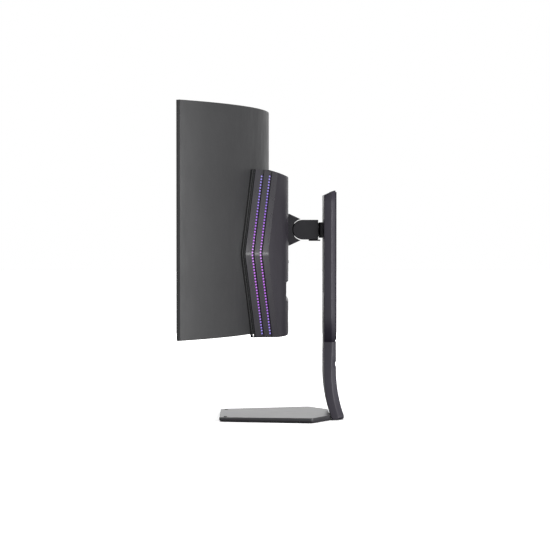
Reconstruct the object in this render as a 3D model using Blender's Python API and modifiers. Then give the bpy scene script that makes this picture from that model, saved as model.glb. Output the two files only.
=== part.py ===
"""A curved ultrawide monitor with rear light bars, on a height-adjustable stand.

Metres, +Z up. The origin is on the desk at the middle of the object's footprint. The screen faces -Y, the
stand's column is at +Y and the screen's width runs along X. Every moving piece hangs on an empty that
stands on its joint's axis.
"""

import math

import bmesh
import bpy
from mathutils import Matrix, Vector

GAP = 0.0003                 # between touching pieces

# ---- Screen: concentric layers about a vertical axis in front of it ----
SCREEN_R = 0.800             # radius of the viewed surface
SCREEN_Y = -0.0018           # its middle line
SCREEN_AXIS_Y = SCREEN_Y - SCREEN_R
SCREEN_ANGLE = math.asin(0.4909 / SCREEN_R)
SCREEN_BOTTOM = 0.1923
SCREEN_TOP = 0.6529
BACK_R = 0.796               # radius of the back cover
BACK_Y = 0.0108
BACK_HALF_WIDTH = 0.4963
ARC_STEPS = 28

# ---- Rear housing: a hexagon seen from behind, pointed at left and right ----
HOUSING_TOP = 0.5275
HOUSING_BOTTOM = 0.1848
POINT_Z = 0.356              # height of the two side points
POINT_HALF = 0.0043          # half height of the flat facet on each point
POINT_X = 0.296              # half width at the points, where a light bar starts
END_X = 0.241                # half width at the top and bottom
POINT_Y = -0.0385
END_Y = -0.0179
BAR_RUN_Y = 0.0465           # light bar's run towards the rear
BAR_RUN_X = -0.018           # and its lean towards the middle
BAR_LENGTH = math.hypot(BAR_RUN_X, BAR_RUN_Y)
INWARD = Vector((-BAR_RUN_Y, BAR_RUN_X)) / BAR_LENGTH
HOUSING_FRONT = -0.160       # where the side meets the back cover, as a share of the bar
REAR_Y = 0.0513
CROWN_POWER = 4.5            # how square the rear crown is
SLOPE_Y = 0.0103             # the top face slopes down behind this line
SLOPE = 0.305
WALL = 0.0026

# ---- Port bay across the rear ----
BAY_FLOOR = 0.0456
BAY_LOW = 0.2600
BAY_HIGH = 0.2952
BAY_CHAMFER = 0.003
PORT_Z = 0.2875

# ---- Light bars ----
ROW_AT = (0.311, 0.663)      # the two light rows, as shares of the bar
GROOVE_HALF = 0.0026
GROOVE_DEPTH = 0.0024
BAR_THICK = 0.0044
BOARD_DEPTH = (0.0047, 0.0059)
POCKET_DEPTH = 0.0063

# ---- Stand joints ----
TILT_Y = 0.0830
TILT_Z = 0.4040
ARM_R = 0.0211
ARM_HALF = 0.0300
ARM_REAR = 0.1157
SWIVEL_Y = 0.1087
HEIGHT_TRAVEL = 0.110

# ---- Column ----
COLUMN_FRONT = 0.1273
COLUMN_HALF = 0.0560
COLUMN_SIDE_Y = 0.1438
COLUMN_REAR = 0.1522
COLUMN_REAR_HALF = 0.0440
COLUMN_TOP = 0.4872
COLUMN_TOP_FRONT = 0.4777
COLUMN_SPLIT = 0.1650        # the curved foot piece ends here
COLUMN_WALL = 0.0030
SLOT_HALF = 0.0150
SLOT_LOW = 0.2690
SLOT_HIGH = 0.4400
BEND_Z = 0.1050
BEND_R_FRONT = 0.325
BEND_R_REAR = 0.288
FOOT_HALF = 0.0757
FOOT_REAR = 0.1703
FOOT_BOTTOM = 0.0018
HOLE_HALF = 0.0240
HOLE_LOW = 0.1235
HOLE_HIGH = 0.1535

# ---- Base ----
BASE_BOTTOM = 0.0018
BASE_SIDE_LOW = 0.0050
BASE_TOP_FRONT = 0.0097
BASE_TOP_REAR = 0.0116
BASE_CHAMFER = 0.0007
BASE_OUTLINE = ((0.1015, -0.0945), (0.1434, 0.0998), (0.0757, 0.1400))


def empty_scene():
    """Leaves nothing of the opening scene."""
    for thing in list(bpy.data.objects):
        bpy.data.objects.remove(thing)


empty_scene()
PARTS = bpy.data.collections.new("curved_monitor")
CUTTERS = bpy.data.collections.new("cutters")
bpy.context.scene.collection.children.link(PARTS)
bpy.context.scene.collection.children.link(CUTTERS)


def material(name, colour, roughness, metallic=0.0):
    """A Principled material."""
    made = bpy.data.materials.new(name)
    made.use_nodes = True
    shader = made.node_tree.nodes["Principled BSDF"]
    shader.inputs["Base Color"].default_value = (*colour, 1)
    shader.inputs["Roughness"].default_value = roughness
    shader.inputs["Metallic"].default_value = metallic
    return made


CASE = material("case_plastic", (0.075, 0.075, 0.080), 0.45)
SHADE = material("dark_plastic", (0.020, 0.020, 0.022), 0.55)
PAINT = material("painted_steel", (0.085, 0.085, 0.090), 0.40, 0.3)
SATIN = material("satin_arm", (0.045, 0.044, 0.048), 0.50)
STEEL = material("bare_steel", (0.55, 0.55, 0.56), 0.35, 1.0)
GLASS = material("screen_glass", (0.006, 0.006, 0.008), 0.15)
LIGHT = material("light_lens", (0.45, 0.25, 0.85), 0.30)
CIRCUIT = material("circuit_board", (0.02, 0.10, 0.05), 0.60)
RUBBER = material("rubber", (0.015, 0.015, 0.015), 0.90)
ACETAL = material("acetal", (0.60, 0.60, 0.58), 0.50)


def joint(name, place, parent=None):
    """An empty on a joint's axis."""
    made = bpy.data.objects.new(name, None)
    PARTS.objects.link(made)
    made.parent = parent
    made.location = Vector(place) - (Vector(parent["place"]) if parent else Vector((0, 0, 0)))
    made["place"] = place
    return made


STAND = joint("stand", (0, 0, 0))
DRUM = joint("spring_drum_axis", (0, 0.1400, 0.4520), STAND)
CARRIAGE = joint("height_slide", (0, COLUMN_FRONT, TILT_Z), STAND)
ARM = joint("swivel_axis", (0, SWIVEL_Y, TILT_Z), CARRIAGE)
DISPLAY = joint("tilt_axis", (0, TILT_Y, TILT_Z), ARM)
BUTTON = joint("release_axis", (0, REAR_Y, 0.3350), DISPLAY)
LATCH = joint("latch_axis", (0, 0.0435, 0.3530), DISPLAY)
STICK = (0, 0.0050, 0.2005)
STICK_SIDE = joint("stick_side_axis", STICK, DISPLAY)
STICK_FORE = joint("stick_fore_axis", STICK, STICK_SIDE)
STICK_PRESS = joint("stick_press_axis", STICK, STICK_FORE)


def put(obj, parent):
    """Lists obj as a part and hangs it on its joint's empty, leaving it where it stands."""
    PARTS.objects.link(obj)
    if parent is not None:
        obj.parent = parent
        obj.location = obj.location - Vector(parent["place"])
    return obj


def mesh_object(name, bm, paint, parent, place=(0, 0, 0), smooth=False):
    """A part from a bmesh."""
    bmesh.ops.recalc_face_normals(bm, faces=bm.faces)
    mesh = bpy.data.meshes.new(name)
    bm.to_mesh(mesh)
    bm.free()
    if smooth:
        mesh.shade_smooth()
        mesh.set_sharp_from_angle(angle=math.radians(35))
    mesh.materials.append(paint)
    made = bpy.data.objects.new(name, mesh)
    made.location = place
    return put(made, parent)


def add_box(bm, low, high):
    """Adds a box between two corners."""
    centre = (Vector(low) + Vector(high)) / 2
    size = Vector(high) - Vector(low)
    bmesh.ops.create_cube(bm, size=1, matrix=Matrix.Translation(centre) @ Matrix.Diagonal((*size, 1)))


def boxes(name, corners, paint, parent):
    """A box, or several separate boxes for a cutter."""
    bm = bmesh.new()
    for low, high in corners:
        add_box(bm, low, high)
    return mesh_object(name, bm, paint, parent)


AXIS_TURN = {
    "X": Matrix(((0, 0, 1, 0), (1, 0, 0, 0), (0, 1, 0, 0), (0, 0, 0, 1))),
    "Y": Matrix(((1, 0, 0, 0), (0, 0, -1, 0), (0, 1, 0, 0), (0, 0, 0, 1))),
    "Z": Matrix.Identity(4),
}


def add_rod(bm, axis, radius, start, end, steps=24):
    """Adds a round rod between two points that lie along one axis."""
    start, end = Vector(start), Vector(end)
    bmesh.ops.create_cone(
        bm, cap_ends=True, segments=steps, radius1=radius, radius2=radius, depth=(end - start).length,
        matrix=Matrix.Translation((start + end) / 2) @ AXIS_TURN[axis])


def rods(name, axis, rows, paint, parent, steps=24):
    """A rod (radius, start, end), or several separate rods for a cutter."""
    bm = bmesh.new()
    for radius, start, end in rows:
        add_rod(bm, axis, radius, start, end, steps)
    return mesh_object(name, bm, paint, parent, smooth=True)


def prism(name, axis, outlines, low, high, paint, parent, smooth=False):
    """A flat outline, with any holes as further outlines, run from low to high along an axis.

    Outline points are (X, Y) along Z, (Y, Z) along X and (X, Z) along Y.
    """
    curve = bpy.data.curves.new(name, "CURVE")
    curve.dimensions = "2D"
    curve.fill_mode = "BOTH"
    curve.extrude = (high - low) / 2
    for outline in outlines:
        spline = curve.splines.new("POLY")
        spline.points.add(len(outline) - 1)
        for point, (a, b) in zip(spline.points, outline):
            point.co = (a, b, 0, 1)
        spline.use_cyclic_u = True
    drawn = bpy.data.objects.new(name + "_outline", curve)
    bpy.context.scene.collection.objects.link(drawn)
    turned = AXIS_TURN[axis].copy()
    middle = (low + high) / 2
    turned.translation = {"X": (middle, 0, 0), "Y": (0, middle, 0), "Z": (0, 0, middle)}[axis]
    drawn.matrix_world = turned
    seen = bpy.context.evaluated_depsgraph_get()
    mesh = bpy.data.meshes.new_from_object(drawn.evaluated_get(seen))
    mesh.transform(turned)
    bm = bmesh.new()
    bm.from_mesh(mesh)
    bpy.data.meshes.remove(mesh)
    bpy.data.objects.remove(drawn)
    bmesh.ops.remove_doubles(bm, verts=bm.verts, dist=1e-6)
    return mesh_object(name, bm, paint, parent, smooth=smooth)


def loft(name, rings, paint, parent, smooth=False):
    """A closed skin over rings that all have the same number of points."""
    bm = bmesh.new()
    rows = [[bm.verts.new(point) for point in ring] for ring in rings]
    for below, above in zip(rows, rows[1:]):
        for i in range(len(below)):
            j = (i + 1) % len(below)
            bm.faces.new((below[i], below[j], above[j], above[i]))
    bm.faces.new(list(reversed(rows[0])))
    bm.faces.new(rows[-1])
    return mesh_object(name, bm, paint, parent, smooth=smooth)


def combine(target, others, operation):
    """Adds Boolean steps to a part, and keeps the other shapes as hidden cutters."""
    for other in others:
        for place in list(other.users_collection):
            place.objects.unlink(other)
        CUTTERS.objects.link(other)
        other.hide_render = True
        other.display_type = "WIRE"
        step = target.modifiers.new(operation.lower(), "BOOLEAN")
        step.operation = operation
        step.solver = "EXACT"
        step.object = other


def turned(name, axis, place, profile, paint, parent, steps=24):
    """A turned piece: profile lists (radius, distance along the axis) from one end to the other."""
    bm = bmesh.new()
    rings = []
    for radius, along in profile:
        ring = [Vector((radius * math.cos(math.tau * i / steps), radius * math.sin(math.tau * i / steps), along))
                for i in range(steps)]
        rings.append([bm.verts.new((p.x, p.z, -p.y) if axis == "Y" else p) for p in ring])
    for below, above in zip(rings, rings[1:]):
        for i in range(steps):
            j = (i + 1) % steps
            bm.faces.new((below[i], below[j], above[j], above[i]))
    bm.faces.new(rings[0][::-1])
    bm.faces.new(rings[-1])
    bmesh.ops.translate(bm, verts=bm.verts, vec=place)
    return mesh_object(name, bm, paint, parent, smooth=True)


def cut(target, *cutters):
    """Cuts shapes out of a part."""
    combine(target, cutters, "DIFFERENCE")


def fuse(target, *others):
    """Joins shapes to a part as one solid."""
    combine(target, others, "UNION")


def circle(centre, radius, steps=24, start=0.0, turn=math.tau):
    """Points round a circle, or along an arc with both its ends."""
    closed = abs(turn - math.tau) < 1e-9
    count = steps if closed else steps + 1
    return [(centre[0] + radius * math.cos(start + turn * i / steps),
             centre[1] + radius * math.sin(start + turn * i / steps)) for i in range(count)]


def rectangle(x0, x1, y0, y1):
    return [(x0, y0), (x1, y0), (x1, y1), (x0, y1)]


# ------------------------------------------------------------------ screen
def screen_arc(radius, trim=0.0):
    """Points from -X to +X along a layer of the screen, shortened by trim at each end."""
    angle = SCREEN_ANGLE - trim / SCREEN_R
    return [(radius * math.sin(a), SCREEN_AXIS_Y + radius * math.cos(a))
            for a in (angle * (2 * i / ARC_STEPS - 1) for i in range(ARC_STEPS + 1))]


def screen_layer(name, near, far, trim, paint, z_trim=None, z_low_trim=None):
    """A curved sheet between two radii, trimmed in from the screen's edge."""
    z_trim = trim if z_trim is None else z_trim
    z_low_trim = z_trim if z_low_trim is None else z_low_trim
    outline = screen_arc(near, trim) + screen_arc(far, trim)[::-1]
    return prism(name, "Z", [outline], SCREEN_BOTTOM + z_low_trim, SCREEN_TOP - z_trim, paint, DISPLAY, True)


def back_y(x, inset=0.0):
    """The back cover's surface at x."""
    return BACK_Y - BACK_R + math.sqrt((BACK_R - inset) ** 2 - x * x)


def back_arc(half_width, inset=0.0):
    """Points from +X to -X along the back cover's surface."""
    return [(x, back_y(x, inset)) for x in (half_width * (1 - 2 * i / ARC_STEPS) for i in range(ARC_STEPS + 1))]


def make_bezel():
    """Thin frame round the screen: an outer wall and a front lip over the glass."""
    bezel = screen_layer("front_bezel", SCREEN_R, 0.8035, 0.0, SHADE)
    pocket = screen_layer("bezel_pocket", 0.8012, 0.8060, 0.0030, SHADE)
    window = screen_layer("bezel_window", 0.7950, 0.8020, 0.0085, SHADE, z_low_trim=0.0120)
    cut(bezel, pocket, window)


def make_back_cover():
    """Curved tray that closes the screen from behind, open to the front."""
    outline = screen_arc(0.8038) + back_arc(BACK_HALF_WIDTH)
    cover = prism("back_cover", "Z", [outline], SCREEN_BOTTOM, SCREEN_TOP, CASE, DISPLAY, True)
    inside = screen_arc(0.7980, 0.0028) + back_arc(BACK_HALF_WIDTH - 0.0032, 0.0024)
    hollow = prism("cover_hollow", "Z", [inside], SCREEN_BOTTOM + 0.0025, SCREEN_TOP - 0.0025, CASE, DISPLAY)
    cable_slot = boxes("cover_cable_slot", [((-0.06, -0.01, 0.235), (0.06, 0.03, 0.262))], CASE, DISPLAY)
    stick_hole = rods("cover_stick_hole", "Z", [(0.0026, (0, STICK[1], 0.185), (0, STICK[1], 0.1975))],
                      CASE, DISPLAY, 16)
    cut(cover, hollow, cable_slot, stick_hole)


def make_screen():
    """The curved screen, from the viewed side to the back."""
    make_bezel()
    screen_layer("display_panel", 0.8015, 0.8032, 0.0033, GLASS)
    screen_layer("heat_plate", 0.8041, 0.8052, 0.0060, STEEL, z_low_trim=0.0140)
    make_back_cover()


# ------------------------------------------------------------ rear housing
def lean(z):
    """0 on the side points' flat facet, 1 at the housing's top and bottom."""
    if z > POINT_Z + POINT_HALF:
        return (z - POINT_Z - POINT_HALF) / (HOUSING_TOP - POINT_Z - POINT_HALF)
    if z < POINT_Z - POINT_HALF:
        return (POINT_Z - POINT_HALF - z) / (POINT_Z - POINT_HALF - HOUSING_BOTTOM)
    return 0.0


def side_point(share, z, depth=0.0):
    """(X, Y) on the housing's right side: share runs from 0 to 1 along the light bar towards the rear."""
    out = lean(z)
    x = POINT_X + (END_X - POINT_X) * out + BAR_RUN_X * share + INWARD.x * depth
    y = POINT_Y + (END_Y - POINT_Y) * out + BAR_RUN_Y * share + INWARD.y * depth
    return x, y


def top_z(y, drop=0.0):
    """Height of the housing's top face."""
    return HOUSING_TOP - 0.0015 * min(1.0, max(0.0, (y + 0.0300) / 0.04)) - SLOPE * max(0.0, y - SLOPE_Y) - drop


def corner(share, z, depth, drop):
    """A side point as (X, Y); at the top it is where the side meets the sloping top face."""
    x, y = side_point(share, z, depth)
    if z == HOUSING_TOP:
        for _again in range(6):
            x, y = side_point(share, top_z(y, drop), depth)
    return x, y


CROWN_STEPS = 20
FRONT_STEPS = 14


def housing_ring(z, limit, share, depth, front_share, front_shift, inset):
    """One level of the housing, as points (X, Y) anticlockwise from the right front corner."""
    front = corner(front_share, z, depth, inset)
    rear = corner(share, z, depth, inset)
    crown_y = REAR_Y - inset
    crown = []
    for i in range(CROWN_STEPS + 1):
        x = rear[0] * math.cos(math.pi * i / CROWN_STEPS)
        rise = 1 - abs(x / rear[0]) ** CROWN_POWER
        crown.append((x, min(limit, rear[1] + (crown_y - rear[1]) * rise)))
    across = []
    for i in range(1, FRONT_STEPS):
        x = -front[0] + 2 * front[0] * i / FRONT_STEPS
        across.append((x, back_y(x) + front_shift))
    return [front, *crown, (-front[0], front[1]), *across]


def housing_levels(inset):
    """(height, furthest rear) pairs up the housing: rounded foot, port bay, side points."""
    rear = REAR_Y - inset
    floor = BAY_FLOOR - inset
    low = HOUSING_BOTTOM + inset
    levels = [(low, rear - 0.0032), (low + 0.0005, rear - 0.0016), (low + 0.0015, rear - 0.0005),
              (low + 0.0032, rear)]
    levels += [(BAY_LOW - BAY_CHAMFER - inset, rear), (BAY_LOW - inset, floor), (BAY_HIGH + inset, floor),
               (BAY_HIGH + 0.0015 + inset, rear)]
    levels += [(POINT_Z - POINT_HALF, rear), (POINT_Z + POINT_HALF, rear)]
    return levels


def housing_solid(name, inset, share, depth, front_share, front_shift):
    """The housing's outer solid, or with an inset the hollow inside it."""
    def ring(z, limit):
        return housing_ring(z, limit, share, depth, front_share, front_shift, inset)

    rings = [[(x, y, z) for x, y in ring(z, limit)] for z, limit in housing_levels(inset)]
    rings.append([(x, y, top_z(y, inset)) for x, y in ring(HOUSING_TOP, REAR_Y)])
    return loft(name, rings, CASE, DISPLAY, smooth=True)


def side_strip(name, section, paint, mirror, low=None, high=None, drop=GAP):
    """A strip that follows the housing's side; section lists (share, depth) points."""
    ends = (HOUSING_BOTTOM + drop if low is None else low, high or HOUSING_TOP)
    flip = -1 if mirror else 1
    rings = []
    for z in (ends[0], POINT_Z - POINT_HALF, POINT_Z + POINT_HALF, ends[1]):
        ring = []
        for share, depth in section:
            x, y = corner(share, z, depth, drop)
            ring.append((flip * x, y, top_z(y, drop) if z == HOUSING_TOP else z))
        rings.append(ring)
    return loft(name, rings, paint, DISPLAY)


def groove(share):
    """Section points of one light groove."""
    half = GROOVE_HALF / BAR_LENGTH
    return [(share - half, 0), (share - half, GROOVE_DEPTH), (share + half, GROOVE_DEPTH), (share + half, 0)]


def lens_section(share):
    """Section of a light lens inside its groove."""
    half = (GROOVE_HALF - GAP) / BAR_LENGTH
    return [(share - half, 0.0009), (share - half, GROOVE_DEPTH - GAP), (share + half, GROOVE_DEPTH - GAP),
            (share + half, 0.0009)]


def bar_section():
    """Section of a light bar: three bands with a groove between each pair, and a slanted rear end."""
    return [(0, 0), *groove(ROW_AT[0]), *groove(ROW_AT[1]), (1, 0), (0.90, BAR_THICK), (0, BAR_THICK)]


def make_light_bar(side, mirror):
    """One side's light bar: its three bands, two lens rows, light board and intake grille."""
    side_strip("light_bar_" + side, bar_section(), CASE, mirror)
    lens_ends = (HOUSING_BOTTOM + 0.0040, HOUSING_TOP - 0.0110)
    for share, row in zip(ROW_AT, ("front", "rear")):
        side_strip(f"light_lens_{row}_{side}", lens_section(share), LIGHT, mirror, *lens_ends)
    board = [(0.18, BOARD_DEPTH[0]), (0.82, BOARD_DEPTH[0]), (0.82, BOARD_DEPTH[1]), (0.18, BOARD_DEPTH[1])]
    side_strip("light_board_" + side, board, CIRCUIT, mirror, *lens_ends)
    grille = [(-0.130, 0.0020), (-0.010, 0.0008), (-0.010, 0.0032), (-0.090, 0.0044)]
    side_strip("intake_grille_" + side, grille, SHADE, mirror)


PORTS = {                    # name: (x, half width, half height) of each socket's mouth
    "hdmi_1": (-0.0900, 0.00725, 0.00235), "hdmi_2": (-0.0670, 0.00725, 0.00235),
    "video": (-0.0430, 0.0080, 0.0026), "usb_up": (-0.0190, 0.00425, 0.0039),
    "usb_1": (0.0020, 0.0066, 0.0029), "usb_2": (0.0240, 0.0066, 0.0029),
}
PORT_WALL = 0.0008
PORT_BACK = 0.0289
PORT_FRONT = 0.0453
POWER_X = 0.0600
POWER_R = 0.0055


def socket_block(name, members):
    """Several sockets on one moulded block, open to the rear."""
    first, last = PORTS[members[0]], PORTS[members[-1]]
    clear = PORT_WALL + 0.0010
    block = boxes(name, [((first[0] - first[1] - clear, PORT_BACK, PORT_Z - 0.0060),
                          (last[0] + last[1] + clear, 0.0380, PORT_Z + 0.0060))], STEEL, DISPLAY)
    shells = []
    mouths = []
    for x, half, high in (PORTS[m] for m in members):
        wide, tall = half + PORT_WALL, high + PORT_WALL
        shells.append(((x - wide, 0.0360, PORT_Z - tall), (x + wide, PORT_FRONT, PORT_Z + tall)))
        mouths.append(((x - half, 0.0320, PORT_Z - high), (x + half, 0.0500, PORT_Z + high)))
    fuse(block, boxes(name + "_shells", shells, STEEL, DISPLAY))
    cut(block, boxes(name + "_mouths", mouths, STEEL, DISPLAY))


def make_ports():
    """Sockets that face the rear from the floor of the port bay."""
    socket_block("video_sockets", ("hdmi_1", "hdmi_2", "video"))
    socket_block("usb_sockets", ("usb_up", "usb_1", "usb_2"))
    barrel = rods("power_socket", "Y", [(POWER_R, (POWER_X, PORT_BACK, PORT_Z), (POWER_X, PORT_FRONT, PORT_Z))],
                  SHADE, DISPLAY, 24)
    bore = prism("power_bore", "Y", [circle((POWER_X, PORT_Z), 0.0035, 20), circle((POWER_X, PORT_Z), 0.0010, 12)],
                 0.0330, 0.0500, SHADE, DISPLAY)
    cut(barrel, bore)


def port_windows():
    """Cutter for the openings that the sockets come through."""
    clear = PORT_WALL + GAP
    bm = bmesh.new()
    for x, half, high in PORTS.values():
        add_box(bm, (x - half - clear, 0.036, PORT_Z - high - clear), (x + half + clear, 0.060, PORT_Z + high + clear))
    add_rod(bm, "Y", POWER_R + GAP, (POWER_X, 0.036, PORT_Z), (POWER_X, 0.060, PORT_Z), 24)
    return mesh_object("port_windows", bm, CASE, DISPLAY)


def top_vents():
    """Cutter for the row of air slots through the top face."""
    slots = []
    for i in range(13):
        x = (i - 6) * 0.0270
        slots.append(((x - 0.0095, 0.0195, 0.500), (x + 0.0095, 0.0225, 0.540)))
        slots.append(((x - 0.0095, 0.0275, 0.500), (x + 0.0095, 0.0305, 0.540)))
    return boxes("top_vents", slots, CASE, DISPLAY)


HEAD_HALF = 0.0375
HEAD_RISE = 0.0339


def make_rear_cover():
    """Hexagonal rear shell between the two light bars, with the port bay and the stand's opening."""
    cover = housing_solid("rear_cover", 0.0, 1.0, 0.0, HOUSING_FRONT, 0.0012)
    hollow = housing_solid("cover_inside", WALL, 0.97, POCKET_DEPTH + WALL, HOUSING_FRONT - 0.30, -0.006)
    pocket = [(HOUSING_FRONT - 0.30, -0.006), (1.0 + 1.5 * GAP / BAR_LENGTH, -0.006),
              (1.0 + 1.5 * GAP / BAR_LENGTH, 0.0), (0.875, POCKET_DEPTH), (HOUSING_FRONT - 0.30, POCKET_DEPTH)]
    pockets = [side_strip("bar_pocket_" + side, pocket, CASE, mirror, HOUSING_BOTTOM - 0.01, HOUSING_TOP + 0.01)
               for side, mirror in (("right", False), ("left", True))]
    stand_way = boxes("stand_way", [((-HEAD_HALF - 0.0012, 0.040, TILT_Z - HEAD_RISE - 0.0012),
                                     (HEAD_HALF + 0.0012, 0.070, TILT_Z + HEAD_RISE + 0.0012))], CASE, DISPLAY)
    button_way = boxes("button_way", [((-0.0065, 0.040, 0.3315), (0.0065, 0.070, 0.3385))], CASE, DISPLAY)
    cut(cover, hollow, *pockets, stand_way, button_way, port_windows(), top_vents())


def make_internals():
    """Pressed chassis with its standoffs, the boards on it, and the mounting plate."""
    chassis = boxes("chassis_plate", [((-0.170, 0.0125, 0.222), (0.170, 0.0140, 0.490))], STEEL, DISPLAY)
    legs = [(0.0050, (x, back_y(abs(x) - 0.005) + GAP, z), (x, 0.0135, z)) for x in (-0.150, 0.150)
            for z in (0.240, 0.470)]
    legs += [(0.0055, (x, 0.0130, z), (x, 0.0385 - GAP, z)) for x in (-0.050, 0.050)
             for z in (TILT_Z - 0.050, TILT_Z + 0.050)]
    legs += [(0.0030, (x, 0.0130, z), (x, 0.0270 - GAP, z)) for x in (-0.100, 0.100) for z in (0.245, 0.325)]
    legs += [(0.0030, (x, 0.0130, z), (x, 0.0200 - GAP, z)) for x in (-0.155, -0.085, 0.085, 0.155)
             for z in (0.375, 0.465)]
    fuse(chassis, rods("standoffs", "Y", legs, STEEL, DISPLAY, 12))
    boxes("main_board", [((-0.110, 0.0270, 0.235), (0.110, 0.0286, 0.335))], CIRCUIT, DISPLAY)
    boxes("power_board", [((0.075, 0.0200, 0.365), (0.165, 0.0216, 0.475))], CIRCUIT, DISPLAY)
    boxes("panel_driver_board", [((-0.165, 0.0200, 0.365), (-0.075, 0.0216, 0.475))], CIRCUIT, DISPLAY)
    plate = boxes("mounting_plate", [((-0.060, 0.0385, TILT_Z - 0.060), (0.060, 0.0410, TILT_Z + 0.060))],
                  STEEL, DISPLAY)
    ways = []
    for i, (x, z) in enumerate((x, z) for x in (-0.028, 0.028) for z in (-0.026, 0.026)):
        ways.append((0.0024, (x, 0.036, TILT_Z + z), (x, 0.046, TILT_Z + z)))
        turned(f"head_screw_{i + 1}", "Y", (x, 0, TILT_Z + z),
               ((0.0020, 0.0390), (0.0020, 0.0448), (0.0038, 0.0448), (0.0038, 0.0468)), STEEL, DISPLAY, 12)
    cut(plate, rods("head_screw_ways", "Y", ways, STEEL, DISPLAY, 12))


# -------------------------------------------------------- tilt head and arm
def head_profile():
    """Side view of the tapered head, with a round seat that clears the arm's nose."""
    seat = ARM_R + 0.0018
    meet = 0.0783
    angle = math.acos((meet - TILT_Y) / seat)
    arc = circle((TILT_Y, TILT_Z), seat, 16, angle, math.tau - 2 * angle)
    return [(0.0471, TILT_Z - HEAD_RISE), (0.0537, TILT_Z - HEAD_RISE), *arc[::-1],
            (0.0537, TILT_Z + HEAD_RISE), (0.0471, TILT_Z + HEAD_RISE)]


KNUCKLE_HALF = 0.0118
EYE_R = 0.0112
SHAFT_R = 0.0045
BORE_R = 0.0049


def make_head():
    """Pieces of the stand that tilt with the screen."""
    plate = boxes("head_plate", [((-0.036, 0.0413, TILT_Z - 0.033), (0.036, 0.0445, TILT_Z + 0.033))], STEEL, DISPLAY)
    ways = [(0.0024, (x, 0.040, TILT_Z + z), (x, 0.046, TILT_Z + z)) for x in (-0.028, 0.028) for z in (-0.026, 0.026)]
    cut(plate, rods("plate_screw_ways", "Y", ways, STEEL, DISPLAY, 12))
    shroud = prism("head_shroud", "X", [head_profile()], -HEAD_HALF, HEAD_HALF, SATIN, DISPLAY, True)
    knuckle_way = boxes("knuckle_way", [((-KNUCKLE_HALF - GAP, 0.040, TILT_Z - 0.0135 - GAP),
                                         (KNUCKLE_HALF + GAP, 0.070, TILT_Z + 0.0135 + GAP))], SATIN, DISPLAY)
    cut(shroud, knuckle_way)
    eye = circle((TILT_Y, TILT_Z), EYE_R, 20, -math.radians(110), math.radians(220))
    outline = [(0.0448, TILT_Z - 0.0135), (0.0640, TILT_Z - 0.0135), *eye, (0.0640, TILT_Z + 0.0135),
               (0.0448, TILT_Z + 0.0135)]
    prism("tilt_knuckle", "X", [outline, circle((TILT_Y, TILT_Z), BORE_R, 20)], -KNUCKLE_HALF, KNUCKLE_HALF,
          STEEL, DISPLAY, True)


def arm_outline(radius, rear):
    """Side view of the arm: a round nose about the tilt axis and a square rear end."""
    nose = circle((TILT_Y, TILT_Z), radius, 20, math.pi / 2, math.pi)
    return [*nose, (rear, TILT_Z - radius), (rear, TILT_Z + radius)]


TONGUE_R = 0.0128
TONGUE_HALF_Z = 0.0145
CAVITY_HALF_Z = 0.0172
PIN_R = 0.0050


def make_arm():
    """The swivelling arm: casting, side covers, tilt shaft and swivel pin."""
    body = prism("arm_body", "X", [arm_outline(ARM_R, ARM_REAR)], -ARM_HALF, ARM_HALF, SATIN, ARM, True)
    nose_way = boxes("nose_way", [((-0.0138, 0.055, 0.370), (0.0138, 0.0956, 0.440))], SATIN, ARM)
    tongue_way = boxes("tongue_way", [((-0.0235, 0.0945, TILT_Z - CAVITY_HALF_Z),
                                       (0.0235, 0.1250, TILT_Z + CAVITY_HALF_Z))], SATIN, ARM)
    shaft_bore = rods("shaft_bore", "X", [(BORE_R, (-0.040, TILT_Y, TILT_Z), (0.040, TILT_Y, TILT_Z))],
                      SATIN, ARM, 20)
    pin_bore = rods("pin_bore", "Z", [(PIN_R + 0.0004, (0, SWIVEL_Y, 0.370), (0, SWIVEL_Y, 0.4225))], SATIN, ARM, 20)
    cut(body, nose_way, tongue_way, shaft_bore, pin_bore)
    for side, flip in (("right", 1), ("left", -1)):
        low, high = sorted((flip * (ARM_HALF + GAP), flip * (ARM_HALF + 0.0030)))
        prism("arm_cover_" + side, "X", [arm_outline(ARM_R, ARM_REAR)], low, high, SATIN, ARM, True)
    rods("tilt_shaft", "X", [(SHAFT_R, (-0.0290, TILT_Y, TILT_Z), (0.0290, TILT_Y, TILT_Z))], STEEL, ARM, 20)
    for side, low in (("left", -0.0135), ("right", 0.0121)):
        prism("tilt_washer_" + side, "X", [circle((TILT_Y, TILT_Z), 0.0105, 20), circle((TILT_Y, TILT_Z), BORE_R, 20)],
              low, low + 0.0014, ACETAL, ARM)
    rods("swivel_pin", "Z", [(PIN_R, (0, SWIVEL_Y, 0.3832), (0, SWIVEL_Y, 0.4220))], STEEL, ARM, 20)
    bottom = TILT_Z - ARM_R
    rods("swivel_bottom_cap", "Z", [(0.0125, (0, SWIVEL_Y, bottom - 0.0029), (0, SWIVEL_Y, bottom - GAP))],
         SATIN, ARM, 32)


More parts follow.
